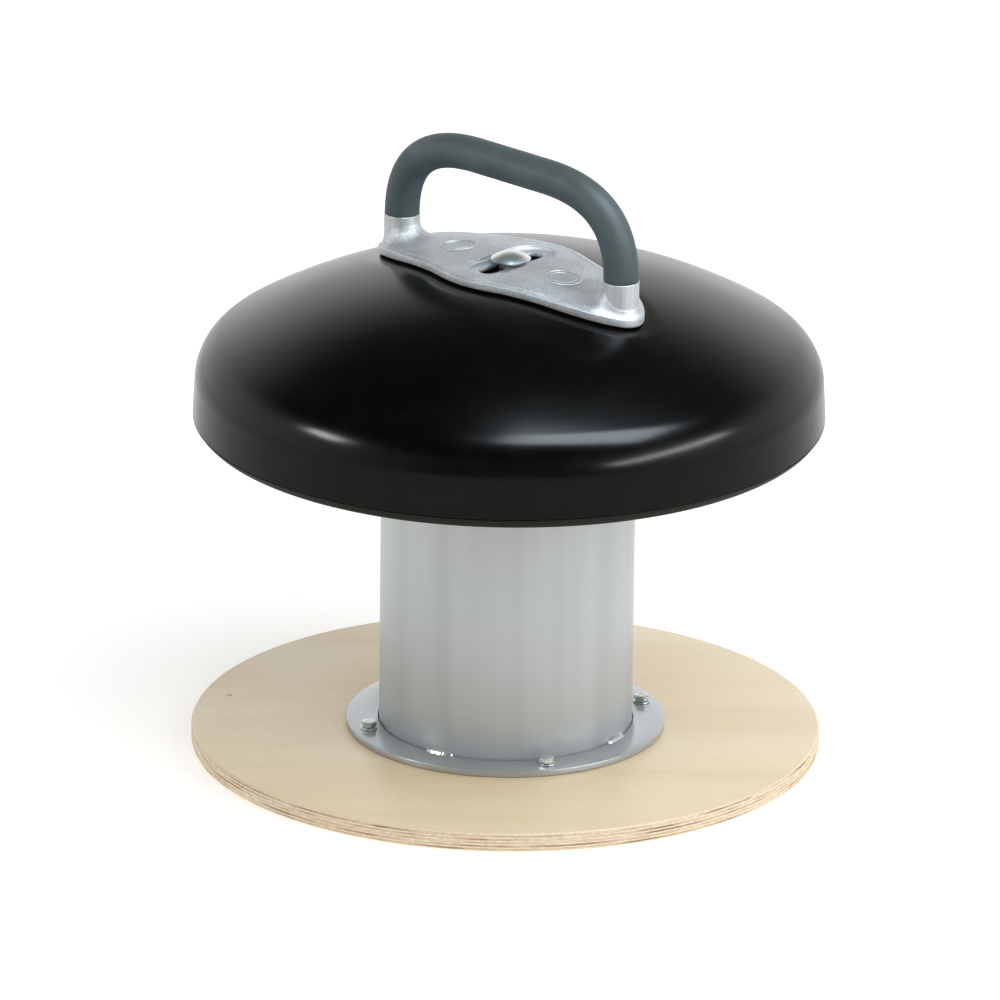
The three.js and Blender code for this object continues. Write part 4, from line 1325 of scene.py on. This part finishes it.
def stage_floor():
    s = Surface("floor_paint", 0.8, Emission_Color=(1, 1, 1, 1), Emission_Strength=FLOOR_GLOW)
    s.color(s.ramp(s.noise(3, 3), [(0, (0.84, 0.84, 0.84)), (1, (0.87, 0.87, 0.87))]))
    see_through = s.add("ShaderNodeBsdfTransparent").outputs[0]
    below = s.add("ShaderNodeNewGeometry").outputs["Backfacing"]
    mixed = s.add("ShaderNodeMixShader", {"Fac": below, 1: s.shader.outputs[0], 2: see_through})
    s.feed(s.tree.nodes["Material Output"].inputs["Surface"], mixed.outputs[0])
    verts, faces = turned([(FLOOR_RADIUS, 0.0)], 96, loop=False)
    mesh = bpy.data.meshes.new("studio_floor")
    mesh.from_pydata(verts, [], faces[-1:])
    mesh.materials.append(s.material)
    placed("studio_floor", mesh)


def studio_light(name, place, size, across, power, color=(1, 1, 1)):
    """A soft rectangle that faces the dome and shows only as a reflection.

    Its place is (to the camera's right, toward the camera, up), and its width lies along across."""
    spot_right, spot_front, level = place
    location = right * spot_right + front * spot_front + Vector((0, 0, level))
    away = (location - Vector((0, 0, DOME_LEVEL))).normalized()
    side = (across - across.project(away)).normalized()
    light = bpy.data.lights.new(name, "AREA")
    light.shape = "RECTANGLE"
    light.size, light.size_y = size
    light.energy = power
    light.color = color
    obj = placed(name, light)
    facing = Matrix((side, away.cross(side), away)).transposed()
    obj.matrix_world = Matrix.Translation(location) @ facing.to_4x4()
    obj.visible_camera = False
    obj.visible_diffuse = False


def room_light(azimuth, elevation, spread, power):
    """Even light over the whole floor, too broad to show as a reflection."""
    a, e = math.radians(azimuth), math.radians(elevation)
    away = (front * math.cos(a) + right * math.sin(a)) * math.cos(e) + Vector((0, 0, math.sin(e)))
    light = bpy.data.lights.new("room_light", "SUN")
    light.energy = power
    light.angle = math.radians(spread)
    obj = placed("room_light", light)
    obj.rotation_mode = "QUATERNION"
    obj.rotation_quaternion = away.to_track_quat("Z", "Y")
    obj.visible_glossy = False


def studio_world():
    """White walls up to eye level on three sides, a dim ceiling, and a dimmer wall behind the camera."""
    world = bpy.data.worlds.new("studio")
    bpy.context.scene.world = world
    world.use_nodes = True
    nodes = Nodes(world.node_tree)
    place = nodes.add("ShaderNodeTexCoord").outputs["Generated"]
    height = nodes.add("ShaderNodeSeparateXYZ", {"Vector": place}).outputs["Z"]
    tone = nodes.ramp(height, [(position, (level,) * 3) for position, level in WALL_LEVELS])
    toward = nodes.add("ShaderNodeVectorMath", {0: place, 1: front}, operation="DOT_PRODUCT")
    start, end = FRONT_WALL_REACH
    inputs = {"Value": toward.outputs["Value"], "From Min": start, "From Max": end}
    dim = nodes.add("ShaderNodeMapRange", {**inputs, "To Min": 1.0, "To Max": FRONT_WALL}).outputs[0]
    background = nodes.tree.nodes["Background"]
    nodes.feed(background.inputs["Color"], tone)
    nodes.feed(background.inputs["Strength"], dim)


def studio_camera():
    data = bpy.data.cameras.new("camera")
    data.lens = CAMERA_LENS
    data.sensor_width = 36
    data.clip_end = 100
    camera = placed("camera", data)
    back = front * math.cos(CAMERA_ELEVATION) + Vector((0, 0, math.sin(CAMERA_ELEVATION)))
    camera.location = right * AIM_RIGHT + Vector((0, 0, AIM_HEIGHT)) + back * CAMERA_DISTANCE
    camera.rotation_mode = "QUATERNION"
    aimed = back.to_track_quat("Z", "Y")
    camera.rotation_quaternion = aimed @ Matrix.Rotation(CAMERA_ROLL, 3, "Z").to_quaternion()
    bpy.context.scene.camera = camera


stage_floor()
studio_world()
room_light(46, 54, 70, 1.95)
studio_light("overhead_box", (0.44, 0.36, 1.60), (0.60, 0.95), front, 44, (0.80, 0.92, 1.0))
studio_light("left_box", (-2.10, 0.68, 1.60), (0.60, 0.32), front, 27)
studio_light("right_box", (3.00, 1.70, 1.60), (3.2, 0.35), front, 108)
studio_camera()
bpy.context.scene.view_settings.view_transform = "Standard"
